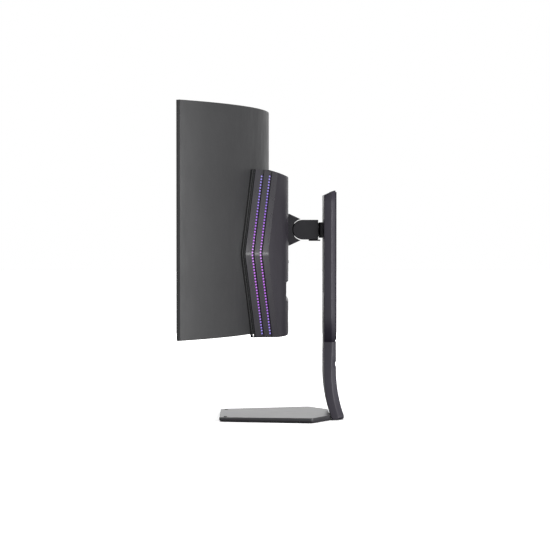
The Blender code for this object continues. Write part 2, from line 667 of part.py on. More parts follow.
# ------------------------------------------------------------ height slide
def make_carriage():
    """Pieces that ride up and down in the column."""
    nose = circle((0, SWIVEL_Y), TONGUE_R, 16, math.pi, math.pi)
    outline = [*nose, (TONGUE_R, 0.1172), (-TONGUE_R, 0.1172)]
    prism("swivel_tongue", "Z", [outline, circle((0, SWIVEL_Y), PIN_R + 0.0004, 20)], TILT_Z - TONGUE_HALF_Z,
          TILT_Z + TONGUE_HALF_Z, STEEL, CARRIAGE, True)
    collar = [(-0.0210, 0.1208), (-0.0060, 0.1178), (0.0060, 0.1178), (0.0210, 0.1208), (0.0210, 0.1242),
              (-0.0210, 0.1242)]
    prism("swivel_collar", "Z", [collar], TILT_Z - 0.0175, TILT_Z + 0.0158, SATIN, CARRIAGE)
    neck = rectangle(-0.0125, 0.0125, TILT_Z - 0.0150, TILT_Z + 0.0150)
    plate = rectangle(-0.0250, 0.0250, TILT_Z - 0.0175, TILT_Z + 0.0160)
    prism("slot_plate", "Y", [plate, [(x * 1.03, TILT_Z + (z - TILT_Z) * 1.03) for x, z in neck]], 0.1247, 0.1268,
          SATIN, CARRIAGE)
    tee = [(-0.0125, 0.1245), (0.0125, 0.1245), (0.0125, 0.1335), (0.0335, 0.1335), (0.0335, 0.1480),
           (-0.0335, 0.1480), (-0.0335, 0.1335), (-0.0125, 0.1335)]
    prism("carriage_block", "Z", [tee], TILT_Z - 0.0150, TILT_Z + 0.0150, STEEL, CARRIAGE)


DRUM_R = 0.0085


def make_counterbalance():
    """The spring reel on an axle at the top of the column, and the steel strip that hangs from it."""
    prism("spring_reel", "X", [circle((0.1400, 0.4520), DRUM_R, 24), circle((0.1400, 0.4520), 0.0036, 16)],
          -0.0200, 0.0200, STEEL, DRUM, True)
    rods("reel_axle", "X", [(0.0030, (-0.0520, 0.1400, 0.4520), (0.0520, 0.1400, 0.4520))], STEEL, STAND, 16)
    boxes("spring_strip", [((-0.0160, 0.1490, TILT_Z + 0.0155), (0.0160, 0.1494, 0.4520))], STEEL, STAND)


# ------------------------------------------------------------------- column
def column_section(half, front, side, rear, rear_half):
    """Plan view of the column: flat front and sides, chamfered rear corners."""
    return [(-half, front), (half, front), (half, side), (rear_half, rear), (-rear_half, rear), (-half, side)]


def make_column():
    """The straight upper column: a hollow shell with a front slot, rear cover, top cap and two rails."""
    outer = column_section(COLUMN_HALF, COLUMN_FRONT, COLUMN_SIDE_Y, COLUMN_REAR, COLUMN_REAR_HALF)
    inner = column_section(COLUMN_HALF - COLUMN_WALL, COLUMN_FRONT + COLUMN_WALL, COLUMN_SIDE_Y - 0.0008,
                           COLUMN_REAR - 0.0027, COLUMN_REAR_HALF - 0.0025)
    shell = prism("column_shell", "Z", [outer, inner], COLUMN_SPLIT + GAP, COLUMN_TOP, PAINT, STAND)
    slot = boxes("column_slot", [((-SLOT_HALF, 0.120, SLOT_LOW), (SLOT_HALF, 0.1320, SLOT_HIGH))], PAINT, STAND)
    above = [(0.120, COLUMN_TOP_FRONT - 0.0032), (0.1490, COLUMN_TOP), (0.1490, 0.500), (0.120, 0.500)]
    slope = prism("column_slope", "X", [above], -0.070, 0.070, PAINT, STAND)
    window = boxes("column_window", [((-0.0340, 0.1470, 0.180), (0.0340, 0.1560, 0.470))], PAINT, STAND)
    bores = rods("axle_bores", "X", [(0.0034, (-0.0540, 0.1400, 0.4520), (0.0540, 0.1400, 0.4520))], PAINT, STAND, 16)
    cut(shell, slot, slope, window, bores)
    fall = (COLUMN_TOP - COLUMN_TOP_FRONT + 0.0032) / 0.0290
    cap = [(y, COLUMN_TOP - fall * (0.1490 - y) - drop) for y, drop in
           ((0.1308, 0.0040), (0.1425, 0.0040), (0.1425, 0.0006), (0.1308, 0.0006))]
    prism("column_top_cap", "X", [cap], -0.0525, 0.0525, PAINT, STAND)
    rear = prism("column_rear_cover", "Z", [rectangle(-0.0400, 0.0400, COLUMN_REAR + GAP, 0.1545)],
                 COLUMN_SPLIT + 0.004, COLUMN_TOP - 0.003, PAINT, STAND)
    soften(rear, 0.0008)


def soften(obj, width):
    """Breaks a part's sharp edges."""
    step = obj.modifiers.new("soften", "BEVEL")
    step.width = width
    step.segments = 1
    step.limit_method = "ANGLE"
    step.angle_limit = math.radians(50)


def foot_ring(z):
    """One level of the foot: it widens downwards and bends back towards the floor."""
    below = max(0.0, BEND_Z - z)
    front = COLUMN_FRONT + BEND_R_FRONT - math.sqrt(BEND_R_FRONT ** 2 - below ** 2)
    rear = min(FOOT_REAR, COLUMN_REAR + 0.0013 + BEND_R_REAR - math.sqrt(BEND_R_REAR ** 2 - below ** 2))
    fall = (COLUMN_SPLIT - z) / COLUMN_SPLIT
    half = COLUMN_HALF + (FOOT_HALF - COLUMN_HALF) * fall ** 1.3
    chamfer = COLUMN_REAR - COLUMN_SIDE_Y + 0.0045 * fall
    rear_half = half - (COLUMN_HALF - COLUMN_REAR_HALF) * (1 + 0.5 * fall)
    return [(x, y, z) for x, y in column_section(half, front, rear - chamfer, rear, rear_half)]


def make_foot():
    """The bent lower piece of the column, with the cable hole and its liner."""
    levels = (FOOT_BOTTOM, 0.0080, 0.0200, 0.0350, 0.0500, 0.0650, 0.0800, 0.0930, BEND_Z, 0.1350, COLUMN_SPLIT)
    foot = loft("column_foot", [foot_ring(z) for z in levels], PAINT, STAND)
    hole = boxes("cable_way", [((-HOLE_HALF, 0.110, HOLE_LOW), (HOLE_HALF, 0.180, HOLE_HIGH))], PAINT, STAND)
    recess = boxes("rear_recess", [((-0.0600, 0.1522, 0.1140), (0.0600, 0.1700, HOLE_LOW + 0.0005))], PAINT, STAND)
    tenon_way = boxes("tenon_way", [((-0.0454, 0.120, 0.0), (0.0454, 0.1604, 0.0058))], PAINT, STAND)
    screw_way = rods("foot_screw_way", "Z", [(0.0036, (0, 0.1535, 0.0), (0, 0.1535, 0.0205))], PAINT, STAND, 16)
    cut(foot, hole, recess, tenon_way, screw_way)
    rim = 0.0028
    outer = rectangle(-HOLE_HALF + GAP, HOLE_HALF - GAP, HOLE_LOW + GAP, HOLE_HIGH - GAP)
    inner = rectangle(-HOLE_HALF + rim, HOLE_HALF - rim, HOLE_LOW + rim, HOLE_HIGH - rim)
    prism("cable_hole_liner", "Y", [outer, inner], COLUMN_FRONT - 0.0005, COLUMN_REAR + 0.0005, SHADE, STAND)


# --------------------------------------------------------------------- base
def base_ring(z, inset):
    """One level of the base: six corners, set in from the full outline."""
    corners = [(x - inset, y + (inset if y < 0 else 0)) for x, y in BASE_OUTLINE]
    return [(x, y, z) for x, y in corners] + [(-x, y, z) for x, y in reversed(corners)]


def base_top(y, drop=0.0):
    """The base's top rises gently towards the column."""
    share = (y - BASE_OUTLINE[0][1]) / (BASE_OUTLINE[2][1] - BASE_OUTLINE[0][1])
    return BASE_TOP_FRONT + (BASE_TOP_REAR - BASE_TOP_FRONT) * share - drop


def make_base():
    """Heavy base plate on two rubber strips, and a joining plate with a thumb screw into the column's foot."""
    rings = [base_ring(BASE_BOTTOM, 0.0040), base_ring(BASE_SIDE_LOW, 0.0)]
    rings.append([(x, y, base_top(y, BASE_CHAMFER)) for x, y, _z in base_ring(0, 0.0)])
    rings.append([(x, y, base_top(y)) for x, y, _z in base_ring(0, BASE_CHAMFER)])
    plate = loft("base_plate", rings, PAINT, STAND)
    dimples = [((x - 0.0100, -0.0855, 0.0088), (x + 0.0100, -0.0785, 0.0130)) for x in (-0.087, 0.087)]
    tenon_way = [((-0.0454, 0.1046, 0.0), (0.0454, 0.1600, 0.0058))]
    cut(plate, boxes("corner_dimples", dimples, PAINT, STAND), boxes("base_tenon_way", tenon_way, PAINT, STAND))
    for end, half, y in (("front", 0.086, -0.078), ("rear", 0.118, 0.088)):
        boxes("rubber_foot_" + end, [((-half, y - 0.006, 0.0), (half, y + 0.006, BASE_BOTTOM - GAP))], RUBBER, STAND)
    hole = circle((0, 0.1535), 0.0036, 16)
    prism("joining_plate", "Z", [rectangle(-0.0450, 0.0450, 0.1050, 0.1600), hole], 0.0024, 0.0055, STEEL, STAND)
    turned("thumb_screw", "Z", (0, 0.1535, 0), ((0.0085, 0.0003), (0.0085, 0.0014), (0.0032, 0.0014), (0.0032, 0.0190)),
           STEEL, STAND, 20)


# ----------------------------------------------------------- small controls
def make_controls():
    """Release button with its latch, and the five-way stick under the screen."""
    boxes("release_button", [((-0.0062, 0.0446, 0.3318), (0.0062, 0.0533, 0.3382))], SHADE, BUTTON)
    boxes("stand_latch", [((-0.0100, 0.0418, 0.3430), (0.0100, 0.0440, 0.3690))], STEEL, LATCH)
    x, y, z = STICK
    ring = [rectangle(-0.0034, 0.0034, y - 0.0022, y + 0.0022), rectangle(-0.0022, 0.0022, y - 0.0016, y + 0.0016)]
    prism("stick_gimbal", "Z", ring, z - 0.0010, z + 0.0010, ACETAL, STICK_SIDE)
    cradle = [rectangle(-0.0018, 0.0018, y - 0.0013, y + 0.0013), circle((0, y), 0.0009, 12)]
    prism("stick_cradle", "Z", cradle, z - 0.0008, z + 0.0008, ACETAL, STICK_FORE)
    profile = ((0.0030, z - 0.0130), (0.0036, z - 0.0124), (0.0036, z - 0.0102), (0.0030, z - 0.0096),
               (0.0006, z - 0.0096), (0.0006, z + 0.0015))
    turned("stick_knob", "Z", (0, y, 0), profile, SHADE, STICK_PRESS, 16)


make_screen()
make_rear_cover()
make_light_bar("right", False)
make_light_bar("left", True)
make_ports()
make_internals()
make_head()
make_arm()
make_carriage()
make_counterbalance()
make_column()
make_foot()
make_base()
make_controls()
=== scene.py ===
"""The look of a curved ultrawide monitor with rear light bars, on its height-adjustable stand."""
import math

import bmesh
import bpy
import numpy as np
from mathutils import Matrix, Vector


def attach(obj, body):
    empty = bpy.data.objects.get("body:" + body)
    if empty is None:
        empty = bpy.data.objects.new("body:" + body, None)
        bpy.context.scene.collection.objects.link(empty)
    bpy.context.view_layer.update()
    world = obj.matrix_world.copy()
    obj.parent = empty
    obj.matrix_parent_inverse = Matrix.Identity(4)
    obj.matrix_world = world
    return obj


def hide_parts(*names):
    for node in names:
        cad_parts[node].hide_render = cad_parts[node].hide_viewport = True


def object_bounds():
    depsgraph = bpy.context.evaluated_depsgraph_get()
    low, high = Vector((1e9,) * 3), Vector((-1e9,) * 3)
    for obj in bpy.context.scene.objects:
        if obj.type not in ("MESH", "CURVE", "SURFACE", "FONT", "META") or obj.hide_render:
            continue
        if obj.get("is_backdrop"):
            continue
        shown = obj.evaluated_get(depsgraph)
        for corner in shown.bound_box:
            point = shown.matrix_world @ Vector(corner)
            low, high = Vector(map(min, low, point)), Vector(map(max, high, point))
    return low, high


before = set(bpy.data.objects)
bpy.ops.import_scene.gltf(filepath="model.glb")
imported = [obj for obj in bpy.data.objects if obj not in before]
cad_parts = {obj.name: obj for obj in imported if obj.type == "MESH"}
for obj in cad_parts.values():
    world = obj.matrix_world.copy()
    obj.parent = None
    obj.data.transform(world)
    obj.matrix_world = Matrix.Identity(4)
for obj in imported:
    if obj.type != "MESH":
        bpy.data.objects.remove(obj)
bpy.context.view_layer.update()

# ---------------------------------------------------------------------------------------------- camera
# A long lens 4.4 m off the monitor's right side, a little in front of its middle, turned slightly towards
# the column and down.
camera = bpy.data.objects.new("camera", bpy.data.cameras.new("camera"))
bpy.context.collection.objects.link(camera)
camera.data.sensor_width = 36.0
camera.data.lens = 135.49
camera.data.clip_end = 60.0
camera.location = (4.446, -0.0257, 0.414)
aim = Vector((-1.0, math.tan(math.radians(0.639)), -math.tan(math.radians(1.384))))
camera.rotation_euler = aim.to_track_quat("-Z", "Y").to_euler()
bpy.context.scene.camera = camera

# ------------------------------------------------------------------------------------- floor and lights
# A seamless white studio: the floor and the air are both near white, with one wide lamp overhead and one
# on each side, so that edges shine and the flanks stay dark.


class Value:
    """A shader socket in an expression. Each operator adds one Math node."""

    def __init__(self, finish, socket):
        self.finish = finish
        self.socket = socket

    def _with(self, operation, first, second):
        return self.finish.node("ShaderNodeMath", {"operation": operation}, {0: first, 1: second})

    def __add__(self, other):
        return self._with("ADD", self, other)

    def __radd__(self, other):
        return self._with("ADD", other, self)

    def __mul__(self, other):
        return self._with("MULTIPLY", self, other)

    def __rmul__(self, other):
        return self._with("MULTIPLY", other, self)


class Finish:
    """A material under construction: a Principled shader and the nodes that feed it."""

    def __init__(self, name, roughness=0.5, slot="case", **fixed):
        self.slot = slot
        self.material = bpy.data.materials.new(name)
        self.material.use_nodes = True
        self.tree = self.material.node_tree
        self.shader = self.tree.nodes["Principled BSDF"]
        self.feed("Roughness", roughness)
        for socket, value in fixed.items():
            self.feed(socket.replace("_", " "), value)

    def feed(self, socket, value, node=None):
        target = (node or self.shader).inputs[socket]
        if isinstance(value, Value):
            self.tree.links.new(value.socket, target)
        elif isinstance(value, (tuple, list)) and len(value) == 3 and target.type == "RGBA":
            target.default_value = (*value, 1.0)
        else:
            target.default_value = value

    def node(self, kind, settings=None, inputs=None, output=0):
        """Adds a node, makes its settings, then links or sets its sockets, and returns one output."""
        made = self.tree.nodes.new(kind)
        for name, value in (settings or {}).items():
            if name == "stops":
                ramp = made.color_ramp
                while len(ramp.elements) < len(value):
                    ramp.elements.new(0.5)
                for element, (place, colour) in zip(ramp.elements, value):
                    element.position = place
                    element.color = (*colour, 1.0)
            else:
                setattr(made, name, value)
        for name, value in (inputs or {}).items():
            self.feed(name, value, made)
        return Value(self, made.outputs[output])

    def place(self):
        """The point on the piece, in metres."""
        return self.node("ShaderNodeTexCoord", output=3)

    def axis(self, letter):
        """One coordinate of the point."""
        split = self.node("ShaderNodeSeparateXYZ", inputs={0: self.place()})
        return Value(self, split.socket.node.outputs["XYZ".index(letter)])

    def noise(self, per_metre, detail=3.0, rough=0.5, stretch=None):
        """Cloudy noise, 0 to 1, with a given number of lumps per metre."""
        place = self.place()
        if stretch:
            place = self.node("ShaderNodeMapping", inputs={0: place, 3: stretch})
        return self.node("ShaderNodeTexNoise", inputs={"Vector": place, "Scale": per_metre, "Detail": detail,
                                                      "Roughness": rough})

    def band(self, value, low, high, out_low=0.0, out_high=1.0):
        """value rescaled from low..high to out_low..out_high and held inside it."""
        return self.node("ShaderNodeMapRange",
                         inputs={"Value": value, 1: low, 2: high, 3: out_low, 4: out_high})

    def blend(self, share, first, second):
        """A colour between two colours."""
        return self.node("ShaderNodeMix", {"data_type": "RGBA"}, {0: share, 6: first, 7: second}, output=2)

    def relief(self, height, depth):
        """A bump whose height 0 to 1 stands for depth metres."""
        return self.node("ShaderNodeBump", inputs={"Height": height, "Distance": depth, "Strength": 1.0})


FLOOR_HALF = 14
corners = [(-FLOOR_HALF, -FLOOR_HALF, 0), (FLOOR_HALF, -FLOOR_HALF, 0), (FLOOR_HALF, FLOOR_HALF, 0),
           (-FLOOR_HALF, FLOOR_HALF, 0)]
floor = bpy.data.objects.new("floor", bpy.data.meshes.new("floor"))
floor.data.from_pydata(corners, [], [(0, 1, 2, 3)])
bpy.context.collection.objects.link(floor)
pale = Finish("studio_floor", 0.9, Specular_IOR_Level=0.0)
away = pale.node("ShaderNodeVectorMath", {"operation": "LENGTH"}, {0: pale.place()}, output=1)
# Near the middle the floor is dark to all but the camera, so that it throws little light up at the base.
pale.feed("Base Color", pale.blend(pale.band(away + pale.noise(3.0) * 0.04, 0.22, 0.60), (0.07, 0.07, 0.07),
                                   (0.60, 0.60, 0.60)))
seen = pale.node("ShaderNodeLightPath")
bright = pale.node("ShaderNodeBsdfDiffuse", inputs={"Color": (2.0, 2.0, 2.0)})
both = pale.node("ShaderNodeMixShader", inputs={0: seen, 1: Value(pale, pale.shader.outputs[0]), 2: bright})
pale.tree.links.new(both.socket, pale.tree.nodes["Material Output"].inputs["Surface"])
floor.data.materials.append(pale.material)
floor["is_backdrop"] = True

bpy.context.scene.view_settings.view_transform = "Standard"
sky = bpy.data.worlds.new("studio_air")
sky.use_nodes = True
air = sky.node_tree
air.nodes["Background"].inputs["Color"].default_value = (1.0, 1.0, 1.0, 1.0)
# The air looks white to the camera. It lights the monitor more from the right, where the camera is.
direction = air.nodes.new("ShaderNodeSeparateXYZ")
air.links.new(air.nodes.new("ShaderNodeTexCoord").outputs["Generated"], direction.inputs[0])
glow = air.nodes.new("ShaderNodeMapRange")
glow.inputs["From Min"].default_value = -0.3
glow.inputs["To Min"].default_value, glow.inputs["To Max"].default_value = 0.38, 0.98
air.links.new(direction.outputs["X"], glow.inputs["Value"])
strength = air.nodes.new("ShaderNodeMix")
strength.inputs["B"].default_value = 1.0
air.links.new(air.nodes.new("ShaderNodeLightPath").outputs["Is Camera Ray"], strength.inputs["Factor"])
air.links.new(glow.outputs["Result"], strength.inputs["A"])
air.links.new(strength.outputs["Result"], air.nodes["Background"].inputs["Strength"])
bpy.context.scene.world = sky


def lamp(name, place, towards, wide, high, watts):
    """A soft box of that width and height, turned to a point and not seen itself."""
    light = bpy.data.lights.new(name, "AREA")
    light.shape = "RECTANGLE"
    light.size, light.size_y = wide, high
    light.energy = watts
    made = bpy.data.objects.new(name, light)
    made.location = place
    made.rotation_euler = (Vector(towards) - Vector(place)).to_track_quat("-Z", "Y").to_euler()
    made.visible_camera = False
    bpy.context.collection.objects.link(made)


lamp("overhead_lamp", (0.4, 0.2, 3.2), (0.0, 0.0, 0.0), 2.4, 2.4, 24.0)
lamp("rear_lamp", (1.6, 3.0, 0.34), (0.15, 0.0, 0.34), 4.2, 0.9, 112.0)
lamp("left_lamp", (-3.4, -0.30, 0.75), (0.0, 0.0, 0.3), 2.6, 1.3, 14.0)
lamp("front_lamp", (1.6, -3.0, 1.2), (0.2, -0.1, 0.3), 1.6, 1.6, 12.0)

# ------------------------------------------------------------------------------------------- back cover
# The screen's curved rear tray: one moulding in dark grey ABS with a fine spark-eroded texture, 2.4 mm
# thick, clipped round the panel.
SCREEN_BOTTOM, SCREEN_TOP = 0.1923, 0.6529
SCREEN_R = 0.800
SCREEN_AXIS_Y = -0.0018 - SCREEN_R
SCREEN_ANGLE = math.asin(0.4909 / SCREEN_R)
BACK_R, BACK_Y, BACK_HALF = 0.796, 0.0108, 0.4963
STICK_HALF = 0.0026


def quads(rows, columns, wrap=False):
    """Corner numbers of the cells of a grid of points, as (rows - 1, columns or columns - 1, 4)."""
    row = np.arange(rows - 1)[:, None]
    column = np.arange(columns if wrap else columns - 1)[None, :]
    after = (column + 1) % columns
    return np.stack([row * columns + column, row * columns + after, (row + 1) * columns + after,
                     (row + 1) * columns + column], axis=-1)


def piece(name, points, faces, finish, body, nodes=(), outward=None, bevel=0.0, wall=0.0, sharp=38, steps=2):
    """Puts points and faces in a mesh, rounds its edges, gives it a wall, and rides it on its body.

    A closed form gets its normals from its own volume; an open one is turned to face the outward vector.
    """
    mesh = bpy.data.meshes.new(name)
    mesh.from_pydata(np.reshape(points, (-1, 3)).tolist(), [], [list(map(int, face)) for face in faces])
    bm = bmesh.new()
    bm.from_mesh(mesh)
    bmesh.ops.remove_doubles(bm, verts=bm.verts, dist=1e-6)
    bmesh.ops.delete(bm, geom=[v for v in bm.verts if not v.link_faces], context="VERTS")
    bmesh.ops.recalc_face_normals(bm, faces=bm.faces)
    if outward is not None:
        facing = sum((f.normal * f.calc_area()).dot(Vector(outward)) for f in bm.faces)
        if facing < 0:
            bmesh.ops.reverse_faces(bm, faces=bm.faces)
    bm.to_mesh(mesh)
    bm.free()
    mesh.shade_smooth()
    mesh.set_sharp_from_angle(angle=math.radians(sharp))
    mesh.materials.append(finish.material)
    made = bpy.data.objects.new(name, mesh)
    bpy.context.collection.objects.link(made)
    if wall:
        step = made.modifiers.new("wall", "SOLIDIFY")
        step.thickness = wall
        step.offset = -1.0
        step.use_even_offset = True
    if bevel:
        step = made.modifiers.new("rounding", "BEVEL")
        step.width = bevel
        step.segments = steps
        step.limit_method = "ANGLE"
        step.angle_limit = math.radians(40)
        step.harden_normals = True
    if nodes:
        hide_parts(*nodes)
    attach(made, body)


def curve_y(x, radius, crest):
    """Depth of a curve of that radius about an upright axis, whose middle is at crest."""
    return crest - radius + np.sqrt(radius ** 2 - x ** 2)


def moulded(name, colour, second, roughness, grain=900.0, depth=0.00004, **fixed):
    """Moulded plastic: slight shade drift, scuffed patches that shine less evenly, and fine pitted grain."""
    made = Finish(name, **fixed)
    drift = made.noise(9.0, 4.0, 0.6)
    speck = made.noise(grain, 2.0, 0.7)
    shade = made.band(drift * 0.7 + speck * 0.3, 0.36, 0.64)
    made.feed("Base Color", made.blend(shade, colour, second))
    rub = made.noise(34.0, 5.0, 0.65, (1.0, 1.0, 0.35))
    made.feed("Roughness", made.band(rub, 0.3, 0.7, roughness - 0.05, roughness + 0.07))
    made.feed("Normal", made.relief(speck * 0.8 + made.noise(grain * 0.35, 2.0) * 0.2, depth))
    return made


back_moulding = moulded("back_moulding", (0.024, 0.024, 0.0255), (0.030, 0.030, 0.0315), 0.42,
                        Specular_IOR_Level=0.38)

across = np.sin(np.linspace(-1, 1, 181) * math.asin(BACK_HALF / BACK_R)) * BACK_R
across = np.sort(np.concatenate([across, [-STICK_HALF, STICK_HALF]]))
columns = len(across) + 2
front_x = across * 0.4933 / BACK_HALF
fold = np.array([0.0, 0.08, 0.62, 1.0, 1.0, 1.0, 1.0, 1.0, 0.0])
levels = np.array([SCREEN_BOTTOM] * 4 + [0.26, 0.42, 0.58] + [SCREEN_TOP] * 2)
front = np.stack([front_x, curve_y(front_x, 0.8038, 0.0020)])
back = np.stack([across, curve_y(across, BACK_R, BACK_Y)])
flat = front[:, None, :] + (back - front)[:, None, :] * fold[None, :, None]
rim = np.repeat(front[:, None, [0, -1]], len(fold), axis=1)
flat = np.concatenate([rim[:, :, :1], flat, rim[:, :, 1:]], axis=2)
tray = np.stack([flat[0], flat[1], np.repeat(levels[:, None], columns, axis=1)], axis=-1)
# The side's front edge starts with three short steps, so that the folded bottom meets it in whole faces.
tray[1:4, [0, -1], 2] += np.array([[0.002], [0.004], [0.006]])
cells = quads(*tray.shape[:2])
middle = tray.reshape(-1, 3)[cells].mean(axis=2)
open_hole = (np.abs(middle[..., 0]) < STICK_HALF) & (np.arange(len(levels) - 1) == 1)[:, None]
piece("back_cover_moulding", tray, cells[~open_hole], back_moulding, "display", ["back_cover"], (0, 1, 0),
      bevel=0.0007, wall=0.0024)

# ------------------------------------------------------------------------- front frame, panel and plate
# A thin near-black frame holds the curved panel. The panel is glass with a matt anti-glare coat, dark
# because it is off, and a plain aluminium plate behind it spreads its heat.
LIP = 0.0085
PANEL_INSET = 0.0033
frame_moulding = moulded("frame_moulding", (0.012, 0.012, 0.013), (0.016, 0.016, 0.018), 0.46, 1400.0,
                         0.00002, slot="dark")
angles = np.linspace(-SCREEN_ANGLE, SCREEN_ANGLE, 171)
window = SCREEN_ANGLE - LIP / SCREEN_R
angles = np.sort(np.concatenate([angles, [-window, window]]))
levels = np.array([SCREEN_BOTTOM, SCREEN_BOTTOM, SCREEN_BOTTOM + 0.0120, SCREEN_TOP - LIP, SCREEN_TOP,
                   SCREEN_TOP])
turn = np.concatenate([angles[:1], angles, angles[-1:]])
deep = np.zeros((len(levels), len(turn)))
deep[[0, -1], :] = 1.0
deep[:, [0, -1]] = 1.0
radius = SCREEN_R + 0.0034 * deep
lip = np.stack([radius * np.sin(turn), SCREEN_AXIS_Y + radius * np.cos(turn),
                np.repeat(levels[:, None], len(turn), axis=1)], axis=-1)
cells = quads(*lip.shape[:2])
middle = turn[:-1] * 0.5 + turn[1:] * 0.5
seen_through = (np.abs(middle) < window)[None, :] & (np.arange(len(levels) - 1) == 2)[:, None]
piece("front_frame", lip, cells[~seen_through], frame_moulding, "display", ["front_bezel"], (0, -1, 0),
      bevel=0.0004, wall=0.0009)

screen_coat = Finish("screen_coat", IOR=1.5, slot="glass")
sheen = screen_coat.noise(2600.0, 2.0, 0.6)
screen_coat.feed("Base Color", screen_coat.blend(screen_coat.band(screen_coat.noise(5.0), 0.35, 0.65),
                                                 (0.0045, 0.0045, 0.0062), (0.0062, 0.0060, 0.0085)))
screen_coat.feed("Roughness", screen_coat.band(sheen, 0.3, 0.7, 0.17, 0.25))
screen_coat.feed("Normal", screen_coat.relief(sheen, 0.000006))
angles = np.linspace(-1, 1, 181) * (SCREEN_ANGLE - PANEL_INSET / SCREEN_R)
panel_front, panel_rear = (np.stack([radius * np.sin(angles), SCREEN_AXIS_Y + radius * np.cos(angles)], 1)
                           for radius in (0.8015, 0.8032))
loop = np.concatenate([panel_front, panel_rear[::-1]])


def upright(loop, levels):
    """A closed plan outline repeated at each height, as a grid, with its cells and its two end faces."""
    count = len(loop)
    points = np.concatenate([np.tile(loop, (len(levels), 1)), np.repeat(levels, count)[:, None]], axis=1)
    cells = quads(len(levels), count, wrap=True).reshape(-1, 4).tolist()
    last = (len(levels) - 1) * count
    return points, cells + [list(range(count)), list(range(last, last + count))]


piece("screen_panel", *upright(loop, [SCREEN_BOTTOM + PANEL_INSET, SCREEN_TOP - PANEL_INSET]), screen_coat,
      "display", ["display_panel"], bevel=0.0003)


def metal(name, colour, second, roughness, grain=(1.0, 1.0, 0.04), per_metre=1500.0, scratch=0.00001):
    """Bare sheet or bar: fine drawn lines along one direction, duller patches and handling marks."""
    made = Finish(name, Metallic=1.0)
    lines = made.noise(per_metre, 3.0, 0.6, grain)
    patch = made.noise(26.0, 5.0, 0.6)
    made.feed("Base Color", made.blend(made.band(lines * 0.5 + patch * 0.5, 0.35, 0.65), colour, second))
    made.feed("Roughness", made.band(patch * 0.6 + lines * 0.4, 0.3, 0.7, roughness - 0.07, roughness + 0.10))
    made.feed("Normal", made.relief(lines, scratch))
    return made


def dress(finish, *names):
    """Gives CAD nodes whose shape is already right their real finish."""
    for name in names:
        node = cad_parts[name]
        node.data.materials.clear()
        node.data.materials.append(finish.material)


rolled_sheet = metal("rolled_aluminium", (0.60, 0.61, 0.62), (0.70, 0.70, 0.71), 0.34, (0.04, 1.0, 1.0))
dress(rolled_sheet, "heat_plate")

# ------------------------------------------------------------------------------------------- rear cover
# The raised hexagonal shell behind the screen, in the same ABS with a slightly smoother texture. It holds
# the port bay, two rows of air slots in its top, and the openings for the stand and its release button.
HOUSING_TOP, HOUSING_BOTTOM = 0.5275, 0.1848
POINT_Z, POINT_HALF = 0.356, 0.0043
POINT_X, POINT_Y = 0.296, -0.0385
END_X, END_Y = 0.241, -0.0179
BAR_RUN = np.array([-0.018, 0.0465])
BAR_LENGTH = float(np.hypot(*BAR_RUN))
INWARD = np.array([-BAR_RUN[1], BAR_RUN[0]]) / BAR_LENGTH
FLANK_INSET = 0.0068
REAR_Y, BAY_FLOOR = 0.0513, 0.0456
TILT_Z = 0.4040
SOCKET_Z = 0.2875
HEAD_WAY = (0.0387, 0.0351)
BUTTON_Z, BUTTON_WAY = 0.335, (0.0065, 0.0035)
AIR_SLOT_HALF = 0.0095


def top_z(y):
    """Height of the top face: level in front, sloping down behind."""
    return HOUSING_TOP - 0.0015 * np.clip((y + 0.03) / 0.04, 0, 1) - 0.305 * np.clip(y - 0.0103, 0, None)


def flank(share, z, depth=0.0):
    """(X, Y) on the right flank: 0 to 1 along a light bar to the rear, set in by a depth. The flank leans
    from its flat point towards the top and the bottom in straight lines."""
    out = (np.abs(z - POINT_Z) - POINT_HALF).clip(0) / (HOUSING_TOP - POINT_Z - POINT_HALF)
    x = POINT_X + (END_X - POINT_X) * out + BAR_RUN[0] * share + INWARD[0] * depth
    y = POINT_Y + (END_Y - POINT_Y) * out + BAR_RUN[1] * share + INWARD[1] * depth
    return x, y


def flank_top(share, depth=0.0):
    """(X, Y, Z) where the flank meets the sloping top face."""
    z = np.full(np.shape(share), HOUSING_TOP)
    for _again in range(6):
        x, y = flank(share, z, depth)
        z = top_z(y)
    return x, y, z


rear_moulding = moulded("rear_moulding", (0.0090, 0.0062, 0.0130), (0.0120, 0.0092, 0.0165), 0.40, 1100.0,
                        0.00002, Specular_IOR_Level=0.42)

slots = np.arange(-6, 7) * 0.0270
# Middle, half width and half height of each socket's opening.
sockets = [(-0.0900, 0.00835, 0.00345), (-0.0670, 0.00835, 0.00345), (-0.0430, 0.0091, 0.0037),
           (-0.0190, 0.00535, 0.0050), (0.0020, 0.0077, 0.0040), (0.0240, 0.0077, 0.0040),
           (0.0600, 0.0058, 0.0058)]
edges = np.concatenate([slots - AIR_SLOT_HALF, slots + AIR_SLOT_HALF]
                       + [[-half, half] for half in (HEAD_WAY[0], BUTTON_WAY[0])]
                       + [[x - half, x + half] for x, half, _high in sockets])
inner = np.unique(np.round(edges, 5))
reach = 0.1750
outer = 1 - (1 - np.linspace(0, 1, 27)[1:]) ** 1.6
share_x = np.concatenate([-(1 + outer)[::-1], [-1.0], inner / reach, [1.0], 1 + outer])


def spread(edge_x):
    """X of every column for a right edge at edge_x: even in the middle, then stretched out to the edge."""
    beyond = np.clip(np.abs(share_x) - 1, 0, 1) * (edge_x[..., None] - reach)
    return np.clip(share_x, -1, 1) * reach + np.sign(share_x) * beyond


def crown(x, edge_x, edge_y, rear_y=REAR_Y):
    """Y of the rear face: flat in the middle, falling to the flank by a power of 4.5."""
    return edge_y[..., None] + (rear_y - edge_y[..., None]) * (1 - np.abs(x / edge_x[..., None]) ** 4.5)


